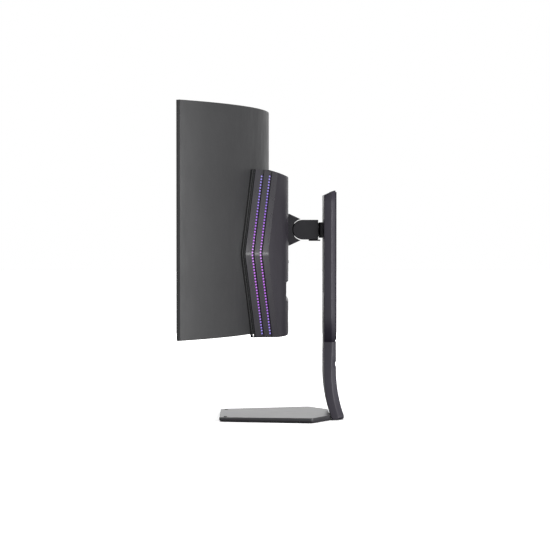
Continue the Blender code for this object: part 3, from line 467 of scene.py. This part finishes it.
# (Z, Y) of the rear face's rows, from the eased bottom edge up past a shallow groove and the port bay.
heel = np.linspace(0, math.pi / 2, 7)
rise = [0.0030 * (1 - np.cos(heel)), -0.0030 * (1 - np.sin(heel))]
rows = [(HOUSING_BOTTOM + a, REAR_Y + b) for a, b in zip(*rise)]
rows += [(0.2075, REAR_Y), (0.2090, REAR_Y - 0.0009), (0.2335, REAR_Y - 0.0009), (0.2350, REAR_Y)]
rows += [(z, REAR_Y) for z in (0.2420, 0.2500, 0.2566)] + [(0.2570, REAR_Y), (0.2600, BAY_FLOOR)]
socket_highs = sorted({high for _x, _half, high in sockets})
rows += [(SOCKET_Z - high, BAY_FLOOR) for high in socket_highs[::-1]]
rows += [(SOCKET_Z + high, BAY_FLOOR) for high in socket_highs]
rows += [(0.2952, BAY_FLOOR), (0.2967, REAR_Y)]
rows += [(z, REAR_Y) for z in (0.3040, 0.3180, 0.3315, 0.3385, 0.3450, POINT_Z - POINT_HALF,
                               POINT_Z + POINT_HALF, TILT_Z - HEAD_WAY[1], TILT_Z, TILT_Z + HEAD_WAY[1],
                               0.4500, 0.4650, 0.4800, 0.4950, 0.5050)]
rows = np.array(rows)
edge = np.array(flank(1.0, rows[:, 0]))
x = spread(edge[0])
y = np.minimum(crown(x, edge[0], edge[1]), rows[:, 1:])
rear = np.stack([x, y, np.repeat(rows[:, :1], x.shape[1], axis=1)], axis=-1)

back_share = np.array([1.0, 1.0, 0.9, 0.66, 0.55, 0.40, 0.30, 0.1, -0.05, -0.16])
edge = np.array(flank_top(back_share, FLANK_INSET * np.array([0, 1, 1, 1, 1, 1, 1, 1, 1, 1])))
x = spread(edge[0])
near = curve_y(x, BACK_R, BACK_Y) + 0.0012
far = crown(x, edge[0][:1], edge[1][:1])
depth_to = np.array([0.0, 0.05, 0.28, 0.36, 0.50, 0.58, 0.70, 0.80, 0.9, 1.0])[:, None]
y = far + (near - far) * depth_to
lid = np.stack([x, y, top_z(y)], axis=-1)

sole_share = np.array([-0.16, 0.10, 0.40, 0.70])
edge = np.array(flank(sole_share, HOUSING_BOTTOM, FLANK_INSET))
x = spread(edge[0])
near = curve_y(x, BACK_R, BACK_Y) + 0.0012
y = near + (rear[0, :, 1] - near) * np.array([0.0, 0.3, 0.6, 0.85])[:, None]
sole = np.stack([x, y, np.full(x.shape, HOUSING_BOTTOM)], axis=-1)

shell = np.concatenate([sole, rear, lid])
cells = quads(*shell.shape[:2])
middle = shell.reshape(-1, 3)[cells].mean(axis=2)
first_lid = len(sole) + len(rear)
row = np.arange(len(shell) - 1)[:, None]
ways = [(0.0, TILT_Z, *HEAD_WAY), (0.0, BUTTON_Z, *BUTTON_WAY)]
ways += [(at, SOCKET_Z, half, high) for at, half, high in sockets]
cut = np.zeros(middle.shape[:2], bool)
for at, z, half, high in ways:
    cut |= (np.abs(middle[..., 0] - at) < half) & (np.abs(middle[..., 2] - z) < high) & (row < first_lid)
slot_columns = (np.abs(middle[..., :1] - slots) < AIR_SLOT_HALF).any(axis=-1)
cut |= slot_columns & np.isin(row, [first_lid + 2, first_lid + 4])
piece("rear_shell", shell, cells[~cut], rear_moulding, "display", ["rear_cover"], (0, 1, 0), bevel=0.0006,
      sharp=20, wall=0.0024)

# ------------------------------------------------------------------------------------------- light bars
# One long moulding on each side of the housing, bent at the point. Three flat bands stand between two
# grooves, and every groove holds 55 small domed lenses over a strip of violet light emitters.
bar_moulding = moulded("bar_moulding", (0.029, 0.0265, 0.033), (0.036, 0.0335, 0.040), 0.29, 1200.0, 0.000008)
ROWS_AT = (0.311, 0.663)
GROOVE_FROM, GROOVE_TO = -0.0021 / BAR_LENGTH, 0.0037 / BAR_LENGTH
GROOVE_DEPTH, BAR_THICK = 0.0024, 0.0044


def strip(section, low, high, side):
    """A section of (share, depth) points carried up the flank, with end faces. high None follows the top."""
    share, depth = np.array(section).T

    def ring(z):
        level = np.full(len(share), z)
        return np.stack([*flank(share, level, depth), level], 1)

    rings = [ring(z) for z in (low, POINT_Z - POINT_HALF, POINT_Z + POINT_HALF)]
    rings.append(np.stack(flank_top(share, depth), 1) if high is None else ring(high))
    points = np.stack(rings) * [side, 1, 1]
    count = len(share)
    cells = quads(4, count, wrap=True).reshape(-1, 4).tolist()
    return points, cells + [list(range(count)), list(range(3 * count, 4 * count))]


section = [(0, 0)]
for at in ROWS_AT:
    section += [(at + GROOVE_FROM, 0), (at + GROOVE_FROM, GROOVE_DEPTH), (at + GROOVE_TO, GROOVE_DEPTH),
                (at + GROOVE_TO, 0)]
section += [(1, 0), (0.90, BAR_THICK), (0, BAR_THICK)]

lens_light = Finish("violet_lens", 0.28, Coat_Weight=0.2, slot="lens")
height = lens_light.axis("Z")
violet = lens_light.node("ShaderNodeValToRGB", {"stops": [
    (0.0, (0.21, 0.20, 0.62)), (0.08, (0.26, 0.15, 0.64)), (0.17, (0.36, 0.10, 0.66)),
    (0.30, (0.46, 0.11, 0.70)), (0.44, (0.50, 0.14, 0.74)), (0.515, (0.62, 0.28, 0.82)),
    (0.60, (0.46, 0.13, 0.72)), (0.72, (0.30, 0.10, 0.64)), (0.84, (0.19, 0.12, 0.62)),
    (1.0, (0.25, 0.23, 0.62))]}, {0: lens_light.band(height, 0.19, 0.515)})
lens_light.feed("Base Color", lens_light.blend(lens_light.band(lens_light.noise(900.0), 0.3, 0.7),
                                               (0.050, 0.025, 0.075), (0.075, 0.040, 0.105)))
lens_light.feed("Emission Color", violet)
lens_light.shader.inputs["Emission Strength"].default_value = 1.2
lens_light.feed("Roughness", lens_light.band(lens_light.noise(1800.0), 0.3, 0.7, 0.22, 0.36))
lens_carrier = moulded("lens_carrier", (0.012, 0.006, 0.018), (0.018, 0.009, 0.026), 0.6, 1800.0, 0.00001,
                       slot="dark")

LENS_STEP, LENS_R, LENS_RISE = 0.00591, 0.0019, 0.0011
DOME_AT = POINT_Z + (np.arange(-28, 27) + 0.5) * LENS_STEP
BED_INSET = 0.002
around = np.linspace(0, 2 * np.pi, 13)[:-1]
lift = np.array([0.0, 0.45, 0.8, 1.0])
dome_r = LENS_R * np.cos(lift * np.pi / 2 * 0.92)
dome_h = LENS_RISE * np.sin(lift * np.pi / 2 * 0.92)
for side, word in ((1, "right"), (-1, "left")):
    piece("light_bar_moulding_" + word, *strip(section, HOUSING_BOTTOM + 0.0003, None, side), bar_moulding,
          "display", ["light_bar_" + word], bevel=0.00035)
    for at, row_name in zip(ROWS_AT, ("front", "rear")):
        start, end = at + GROOVE_FROM + BED_INSET, at + GROOVE_TO - BED_INSET
        bed = [(start, GROOVE_DEPTH - 0.0003), (end, GROOVE_DEPTH - 0.0003),
               (end, GROOVE_DEPTH + 0.0002), (start, GROOVE_DEPTH + 0.0002)]
        piece(f"lens_carrier_{row_name}_{word}", *strip(bed, 0.1888, 0.5165, side), lens_carrier, "display")
        x, y = flank(at, DOME_AT, GROOVE_DEPTH - 0.0002)
        centre = np.stack([x, y, DOME_AT], 1)
        out = np.append(-INWARD, 0.0)
        along = np.append(BAR_RUN / BAR_LENGTH, 0.0)
        turned = np.cos(around)[:, None] * along + np.sin(around)[:, None] * [0, 0, 1.0]
        ring = dome_r[:, None, None] * turned
        dome = (ring + dome_h[:, None, None] * out).reshape(-1, 3)
        points = (centre[:, None, :] + dome[None]).reshape(-1, 3) * [side, 1, 1]
        one = quads(len(lift), len(around), wrap=True).reshape(-1, 4)
        first = np.arange(len(centre))[:, None, None] * len(dome)
        faces = (one[None] + first).reshape(-1, 4).tolist()
        rims = [0, (len(lift) - 1) * len(around)]
        caps = np.concatenate([np.arange(len(around)) + rim + first[:, 0] for rim in rims])
        piece(f"light_domes_{row_name}_{word}", points, faces + caps.tolist(), lens_light, "display",
              [f"light_lens_{row_name}_{word}"])

# --------------------------------------------------------------------------------------- intake grilles
# A narrow strip of near-black moulded mesh on each side, between the light bar and the screen, through
# which the housing draws air. A row of small square holes runs the whole height beside a shadow gap.
mesh_moulding = moulded("mesh_moulding", (0.012, 0.012, 0.013), (0.017, 0.017, 0.018), 0.5, 1500.0, 0.00002,
                        Specular_IOR_Level=0.3, slot="dark")
holes = 112
level = np.linspace(HOUSING_BOTTOM + 0.0006, HOUSING_TOP - 0.0012, 2 * holes + 1)
level[1:-1] += np.tile([-0.00022, 0.00022], holes)[:-1]
share = np.array([-0.192, -0.150, -0.138, -0.100, -0.058, -0.003])
x, y = flank(share[None, :], level[:, None], np.array([0.0040, 0.0040, 0.0012, 0.0012, 0.0012, 0.0012]))
mesh_grid = np.stack([x, y, np.repeat(level[:, None], len(share), axis=1)], -1)
cells = quads(*mesh_grid.shape[:2])
pierced = (np.arange(cells.shape[0]) % 2 == 1)[:, None] & (np.arange(cells.shape[1]) == 3)[None, :]
for side, word in ((1, "right"), (-1, "left")):
    piece("grille_" + word, mesh_grid * [side, 1, 1], cells[~pierced], mesh_moulding, "display",
          ["intake_grille_" + word], (side, 0.3, 0), wall=0.0006)

# A thin black strip lies on the screen's back along each grille: painted shadow, a dark sheet that stands in
# for the shade in the gap behind the grille.
shadow_foam = moulded("painted_shadow_foam", (0.006, 0.006, 0.006), (0.010, 0.010, 0.010), 0.85, 2600.0, 0.00008,
               Specular_IOR_Level=0.1, slot="rubber")
start_x = flank(-0.150, level[::8], 0.0040)[0]
out = np.array([-0.0030, 0.0, 0.0035, 0.0050, 0.0056])
lift = np.array([0.0010, 0.0014, 0.0014, 0.0009, 0.0])
x = start_x[:, None] + out[None, :]
y = curve_y(x, BACK_R, BACK_Y) + lift
shadow_gasket = np.stack([x, y, np.repeat(level[::8, None], len(out), axis=1)], -1)
for side, word in ((1, "right"), (-1, "left")):
    # One painted-shadow strip on each side, laid along the grille's edge on the screen's back.
    piece("housing_gasket_" + word, shadow_gasket * [side, 1, 1], quads(*shadow_gasket.shape[:2]).reshape(-1, 4), shadow_foam,
          "display", outward=(side, 1, 0), wall=0.0008)

# --------------------------------------------------------------------------------------------- sockets
# Video, data and power sockets look out of the port bay. Each is a folded nickel-plated steel shell round
# a black contact tongue; the power inlet is a black moulded barrel with a centre pin.
nickel = metal("nickel_shell", (0.52, 0.51, 0.49), (0.64, 0.63, 0.60), 0.24, (1.0, 0.05, 1.0), 2200.0,
               0.000004)
dress(nickel, "video_sockets", "usb_sockets")
tongue_black = moulded("tongue_black", (0.010, 0.010, 0.011), (0.017, 0.017, 0.018), 0.42, 2400.0, 0.00001,
                       slot="dark")
dress(tongue_black, "power_socket")


def blocks(boxes):
    """Several boxes, each (low corner, high corner), as one set of points and faces."""
    low, high = np.array([b[0] for b in boxes]), np.array([b[1] for b in boxes])
    pick = np.array([[0, 0, 0], [1, 0, 0], [1, 1, 0], [0, 1, 0], [0, 0, 1], [1, 0, 1], [1, 1, 1], [0, 1, 1]])
    points = np.where(pick[None] == 1, high[:, None], low[:, None])
    sides = np.array([[0, 3, 2, 1], [4, 5, 6, 7], [0, 1, 5, 4], [1, 2, 6, 5], [2, 3, 7, 6], [3, 0, 4, 7]])
    faces = (sides[None] + 8 * np.arange(len(boxes))[:, None, None]).reshape(-1, 4)
    return points.reshape(-1, 3), faces


def tongue(x, half, low, high):
    """A contact tongue that stands in a socket from its back wall."""
    return (x - half, 0.0318, SOCKET_Z + low), (x + half, 0.0432, SOCKET_Z + high)


tongues = [tongue(-0.0900, 0.0056, -0.0003, 0.0007), tongue(-0.0670, 0.0056, -0.0003, 0.0007),
           tongue(-0.0430, 0.0062, -0.0003, 0.0008), tongue(-0.0190, 0.0024, -0.0014, 0.0014),
           tongue(0.0020, 0.0056, -0.0002, 0.0016), tongue(0.0240, 0.0056, -0.0002, 0.0016)]
piece("contact_tongues", *blocks(tongues), tongue_black, "display", bevel=0.0002)

# --------------------------------------------------------------------------------------------- insides
# A pressed steel chassis carries the main, power and panel driver boards on its drawn standoffs, and a
# thick steel plate that the stand's head bolts to. The light boards sit behind the lenses.
pressed = metal("pressed_zinc", (0.42, 0.43, 0.44), (0.54, 0.55, 0.56), 0.36, (0.05, 1.0, 1.0), 1300.0)
dress(pressed, "chassis_plate", "mounting_plate", "head_plate", "stand_latch", "joining_plate")
laminate = Finish("board_laminate", Coat_Weight=0.35)
tracks = laminate.node("ShaderNodeTexVoronoi", {"distance": "MANHATTAN", "feature": "DISTANCE_TO_EDGE"},
                       {"Vector": laminate.place(), "Scale": 420.0})
copper = laminate.band(tracks, 0.02, 0.06, 1.0, 0.0)
laminate.feed("Base Color", laminate.blend(copper, (0.010, 0.055, 0.030), (0.030, 0.130, 0.060)))
laminate.feed("Roughness", laminate.band(laminate.noise(700.0), 0.3, 0.7, 0.32, 0.48))
laminate.feed("Normal", laminate.relief(copper, 0.00002))
dress(laminate, "main_board", "power_board", "panel_driver_board", "light_board_left", "light_board_right")
zinc = metal("zinc_screw", (0.50, 0.50, 0.49), (0.62, 0.62, 0.60), 0.30, (1.0, 1.0, 1.0), 1800.0)
dress(zinc, *[f"head_screw_{i}" for i in (1, 2, 3, 4)], "thumb_screw")

# ---------------------------------------------------------------------------------------- head and arm
# The tapered head and the round-nosed arm are aluminium castings with a satin near-black coat. The arm
# turns on a steel shaft inside the head's knuckle, between acetal washers.


def coated(name, colour, second, roughness, peel=520.0, depth=0.00003, dusty=0.12, **fixed):
    """Sprayed coat on metal: orange-peel surface, slight shade drift, and dry dust in the duller patches."""
    made = Finish(name, **fixed)
    drift = made.noise(7.0, 4.0, 0.55)
    skin = made.noise(peel, 2.0, 0.5)
    fleck = made.noise(peel * 5.0, 1.0)
    made.feed("Base Color", made.blend(made.band(drift * 0.6 + fleck * 0.4, 0.36, 0.64), colour, second))
    dust = made.noise(48.0, 6.0, 0.7)
    made.feed("Roughness", made.band(dust, 0.35, 0.7, roughness - dusty / 3, roughness + dusty * 2 / 3))
    made.feed("Normal", made.relief(skin * 0.7 + fleck * 0.3, depth))
    return made


satin = coated("satin_coat", (0.0092, 0.0080, 0.0125), (0.0125, 0.0110, 0.0165), 0.46, slot="satin")
TILT_Y = 0.0830
ARM_R, ARM_HALF, ARM_REAR = 0.0211, 0.0300, 0.1157
HEAD_HALF, HEAD_RISE = 0.0375, 0.0339


def across_x(outline, low, high):
    """A side outline of (Y, Z) points run from low to high along X, with both end faces."""
    count = len(outline)
    outline = np.array(outline)
    points = np.concatenate([np.column_stack([np.full(count, x), outline]) for x in (low, high)])
    cells = quads(2, count, wrap=True).reshape(-1, 4).tolist()
    return points, cells + [list(range(count)), list(range(count, 2 * count))]


seat = ARM_R + 0.0018
open_angle = math.acos((0.0783 - TILT_Y) / seat)
turn = np.linspace(2 * math.pi - open_angle, open_angle, 41)
hollow = np.stack([TILT_Y + seat * np.cos(turn), TILT_Z + seat * np.sin(turn)], 1)
head_side = [(0.0471, TILT_Z - HEAD_RISE), (0.0537, TILT_Z - HEAD_RISE), *hollow,
             (0.0537, TILT_Z + HEAD_RISE), (0.0471, TILT_Z + HEAD_RISE)]
piece("head_casting", *across_x(head_side, -HEAD_HALF, HEAD_HALF), satin, "display", ["head_shroud"],
      bevel=0.0007, steps=3)
turn = np.linspace(math.pi / 2, 3 * math.pi / 2, 57)
nose = np.stack([TILT_Y + ARM_R * np.cos(turn), TILT_Z + ARM_R * np.sin(turn)], 1)
cheek = [*nose, (ARM_REAR, TILT_Z - ARM_R), (ARM_REAR, TILT_Z + ARM_R)]
for low_x, high_x, word in ((ARM_HALF + 0.0003, ARM_HALF + 0.0030, "right"),
                            (-ARM_HALF - 0.0030, -ARM_HALF - 0.0003, "left")):
    piece("arm_cheek_" + word, *across_x(cheek, low_x, high_x), satin, "arm", ["arm_cover_" + word],
          bevel=0.0009, steps=3)
dress(satin, "arm_body", "swivel_bottom_cap", "swivel_collar", "slot_plate", "tilt_knuckle", "swivel_tongue")
ground = metal("ground_steel", (0.46, 0.46, 0.47), (0.58, 0.58, 0.59), 0.26, (0.05, 1.0, 1.0), 2600.0,
               0.000006)
dress(ground, "tilt_shaft", "swivel_pin", "reel_axle")
acetal = moulded("white_acetal", (0.58, 0.57, 0.53), (0.66, 0.65, 0.61), 0.42, 1600.0, 0.00002)
dress(acetal, "tilt_washer_left", "tilt_washer_right", "stick_gimbal", "stick_cradle")

# --------------------------------------------------------------------------- height slide inside column
# A zinc-cast carriage runs in the column. A blue-tempered spring strip winds on a reel at the top and
# carries the screen's weight.
dress(pressed, "carriage_block")
spring_steel = metal("tempered_strip", (0.20, 0.23, 0.30), (0.30, 0.32, 0.38), 0.30, (1.0, 1.0, 0.03), 2000.0)
dress(spring_steel, "spring_reel", "spring_strip")

# ------------------------------------------------------------------------------------- column and foot
# The upright is a coated steel channel with a slot for the arm, closed behind by a flat cover. Below it
# the cast foot bends back to the desk and widens, with a cable hole that a soft liner edges.
column_coat = coated("column_coat", (0.0185, 0.0150, 0.0260), (0.0240, 0.0200, 0.0325), 0.42, slot="paint")
COLUMN_FRONT, COLUMN_HALF, COLUMN_SIDE_Y = 0.1273, 0.0560, 0.1438
COLUMN_REAR, COLUMN_REAR_HALF, COLUMN_SPLIT = 0.1522, 0.0440, 0.1650
SLOT = (0.0150, 0.2690, 0.4400)
HOLE = (0.0240, 0.1235, 0.1535)
NOTCH = (0.1128, 0.1235)
BEND_Z, BEND_FRONT_R, BEND_REAR_R = 0.1050, 0.325, 0.288
COLUMN_TOP = 0.4872


def rounded(corners, ease, count=5):
    """Outline whose corners are eased by a curve between points that lie an ease away along both sides."""
    corners = np.asarray(corners, float)
    before = np.roll(corners, 1, axis=-2) - corners
    after = np.roll(corners, -1, axis=-2) - corners
    start = corners + before / np.linalg.norm(before, axis=-1, keepdims=True) * ease
    end = corners + after / np.linalg.norm(after, axis=-1, keepdims=True) * ease
    s = np.linspace(0, 1, count)[:, None]
    arcs = ((1 - s) ** 2 * start[..., None, :] + 2 * s * (1 - s) * corners[..., None, :]
            + s ** 2 * end[..., None, :])
    return arcs.reshape(*corners.shape[:-2], -1, 2)


def column_top(y):
    """The column's top: a slope that rises to the rear, then level."""
    return np.minimum(COLUMN_TOP, COLUMN_TOP - 0.438 * (0.1490 - y))


plan = rounded([(-COLUMN_HALF, COLUMN_FRONT), (-SLOT[0], COLUMN_FRONT), (SLOT[0], COLUMN_FRONT),
                (COLUMN_HALF, COLUMN_FRONT), (COLUMN_HALF, COLUMN_SIDE_Y), (COLUMN_REAR_HALF, COLUMN_REAR),
                (-COLUMN_REAR_HALF, COLUMN_REAR), (-COLUMN_HALF, COLUMN_SIDE_Y)], 0.0010)
levels = np.array([COLUMN_SPLIT + 0.0003, 0.2200, SLOT[1], 0.3500, SLOT[2], 0.4600])
tube = np.concatenate([np.stack([np.broadcast_to(plan[:, 0], (len(levels), len(plan))),
                                 np.broadcast_to(plan[:, 1], (len(levels), len(plan))),
                                 np.repeat(levels[:, None], len(plan), axis=1)], -1),
                       np.column_stack([plan, column_top(plan[:, 1])])[None]])
cells = quads(*tube.shape[:2], wrap=True)
middle = tube.reshape(-1, 3)[cells].mean(axis=2)
slotted = ((np.abs(middle[..., 0]) < SLOT[0]) & (middle[..., 1] < COLUMN_FRONT + 0.001)
           & (middle[..., 2] > SLOT[1]) & (middle[..., 2] < SLOT[2]))
piece("column_channel", tube, cells[~slotted], column_coat, "stand", ["column_shell"], wall=0.0025)
cap = [(y, column_top(y) - drop) for y, drop in ((0.1305, 0.0040), (0.1430, 0.0040), (0.1430, 0.0005),
                                                 (0.1305, 0.0005))]
piece("column_cap", *across_x(cap, -0.0528, 0.0528), column_coat, "stand", ["column_top_cap"], bevel=0.0004)
piece("column_back_cover", *blocks([((-0.0400, COLUMN_REAR + 0.0003, 0.1690), (0.0400, 0.1545, 0.4842))]),
      column_coat, "stand", ["column_rear_cover"], bevel=0.0007, steps=3)

levels = np.concatenate([np.linspace(0.0018, BEND_Z, 27), np.linspace(BEND_Z, COLUMN_SPLIT, 5),
                         [0.0030, 0.0050, NOTCH[0], 0.1140, 0.1223, NOTCH[1], HOLE[2]]])
levels = np.unique(np.round(levels, 5))
below = np.clip(BEND_Z - levels, 0, None)
fall = (COLUMN_SPLIT - levels) / COLUMN_SPLIT
front_y = COLUMN_FRONT + BEND_FRONT_R - np.sqrt(BEND_FRONT_R ** 2 - below ** 2)
rear_y = np.minimum(0.1703, COLUMN_REAR + 0.0013 + BEND_REAR_R - np.sqrt(BEND_REAR_R ** 2 - below ** 2))
rear_y = rear_y - 0.0035 * np.clip((0.0060 - levels) / 0.0042, 0, 1) ** 2
half = COLUMN_HALF + (0.0757 - COLUMN_HALF) * fall ** 1.3
side_y = rear_y - (COLUMN_REAR - COLUMN_SIDE_Y + 0.0045 * fall)
rear_half = half - (COLUMN_HALF - COLUMN_REAR_HALF) * (1 + 0.5 * fall)
notch = 0.0017 * (np.clip((levels - NOTCH[0]) / 0.0012, 0, 1) * np.clip((NOTCH[1] - levels) / 0.0012, 0, 1))
rear_y = rear_y - notch
fixed = np.full(len(levels), HOLE[0])
plan = np.stack([np.stack(pair, -1) for pair in (
    (-half, front_y), (-fixed, front_y), (fixed, front_y), (half, front_y), (half, side_y),
    (rear_half, rear_y), (fixed, rear_y), (-fixed, rear_y), (-rear_half, rear_y), (-half, side_y))], axis=1)
plan = rounded(plan, 0.0011)
foot = np.concatenate([plan, np.repeat(levels[:, None, None], plan.shape[1], axis=1)], axis=-1)
cells = quads(*foot.shape[:2], wrap=True)
middle = foot.reshape(-1, 3)[cells].mean(axis=2)
holed = (np.abs(middle[..., 0]) < HOLE[0]) & (middle[..., 2] > HOLE[1]) & (middle[..., 2] < HOLE[2])
count = foot.shape[1]
ends = [list(range(count)), list(range((len(levels) - 1) * count, len(levels) * count))]
piece("bent_foot", foot, cells[~holed].tolist() + ends, column_coat, "stand", ["column_foot"])
liner_soft = moulded("liner_soft", (0.105, 0.095, 0.140), (0.125, 0.112, 0.160), 0.52, 1300.0, 0.00002)
dress(liner_soft, "cable_hole_liner")

# ------------------------------------------------------------------------------------------------ base
# A heavy flat plate, coated like the column, with a bevelled underside that leaves a shadow line above
# the desk. It stands on two rubber strips and is held to the foot by a thumb screw.
base_coat = coated("base_coat", (0.040, 0.039, 0.043), (0.050, 0.049, 0.053), 0.36, 620.0, 0.00002, 0.03,
                   slot="paint")


def base_top(y):
    """The base's top, which rises gently to the rear."""
    return 0.0097 + 0.0019 * (y + 0.0945) / 0.2345


def base_loop(inset):
    """The base's six corners, set in, with eased corners."""
    half_plan = [(0.1015 - inset, -0.0945 + inset), (0.1434 - inset, 0.0998), (0.0757 - inset, 0.1397)]
    return rounded(half_plan + [(-x, y) for x, y in half_plan[::-1]], 0.0040, 9)


loops = [base_loop(inset) for inset in (0.0060, 0.0022, 0.0002, 0.0, 0.0, 0.0002, 0.0009, 0.0026)]
heights = [np.full(len(loops[0]), z) for z in (0.0009, 0.0009, 0.0036, 0.0044)]
heights += [base_top(loop[:, 1]) - drop for loop, drop in zip(loops[4:], (0.0009, 0.0004, 0.0, 0.0))]
rings = np.stack([np.column_stack([loop, z]) for loop, z in zip(loops, heights)])
count = rings.shape[1]
cells = quads(*rings.shape[:2], wrap=True).reshape(-1, 4).tolist()
ends = [list(range(count)), list(range((len(rings) - 1) * count, len(rings) * count))]
piece("base_slab", rings, cells + ends, base_coat, "stand", ["base_plate"], sharp=30)
rubber = Finish("matt_rubber", Specular_IOR_Level=0.15, slot="rubber")
bloom = rubber.noise(60.0, 6.0, 0.7)
rubber.feed("Base Color", rubber.blend(rubber.band(bloom, 0.4, 0.7), (0.010, 0.010, 0.010),
                                       (0.028, 0.027, 0.026)))
rubber.feed("Roughness", rubber.band(bloom, 0.3, 0.7, 0.78, 0.94))
rubber.feed("Normal", rubber.relief(rubber.noise(900.0), 0.00004))
dimples = [((x - 0.0098, -0.0853, 0.0070), (x + 0.0098, -0.0787, float(base_top(-0.082)) + 0.00012))
           for x in (-0.087, 0.087)]
piece("corner_inlays", *blocks(dimples), rubber, "stand", bevel=0.0001)
dress(rubber, "rubber_foot_front", "rubber_foot_rear")

# ------------------------------------------------------------------------------------------- controls
# The release button above the port bay lets the screen off the stand. The small stick under the front
# edge steers the menus.
key = ((-0.0062, 0.0446, BUTTON_Z - 0.0032), (0.0062, 0.0533, BUTTON_Z + 0.0032))
piece("release_key", *blocks([key]), tongue_black, "release_button", ["release_button"], bevel=0.0008,
      steps=3)
dress(tongue_black, "stick_knob")

low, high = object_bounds()
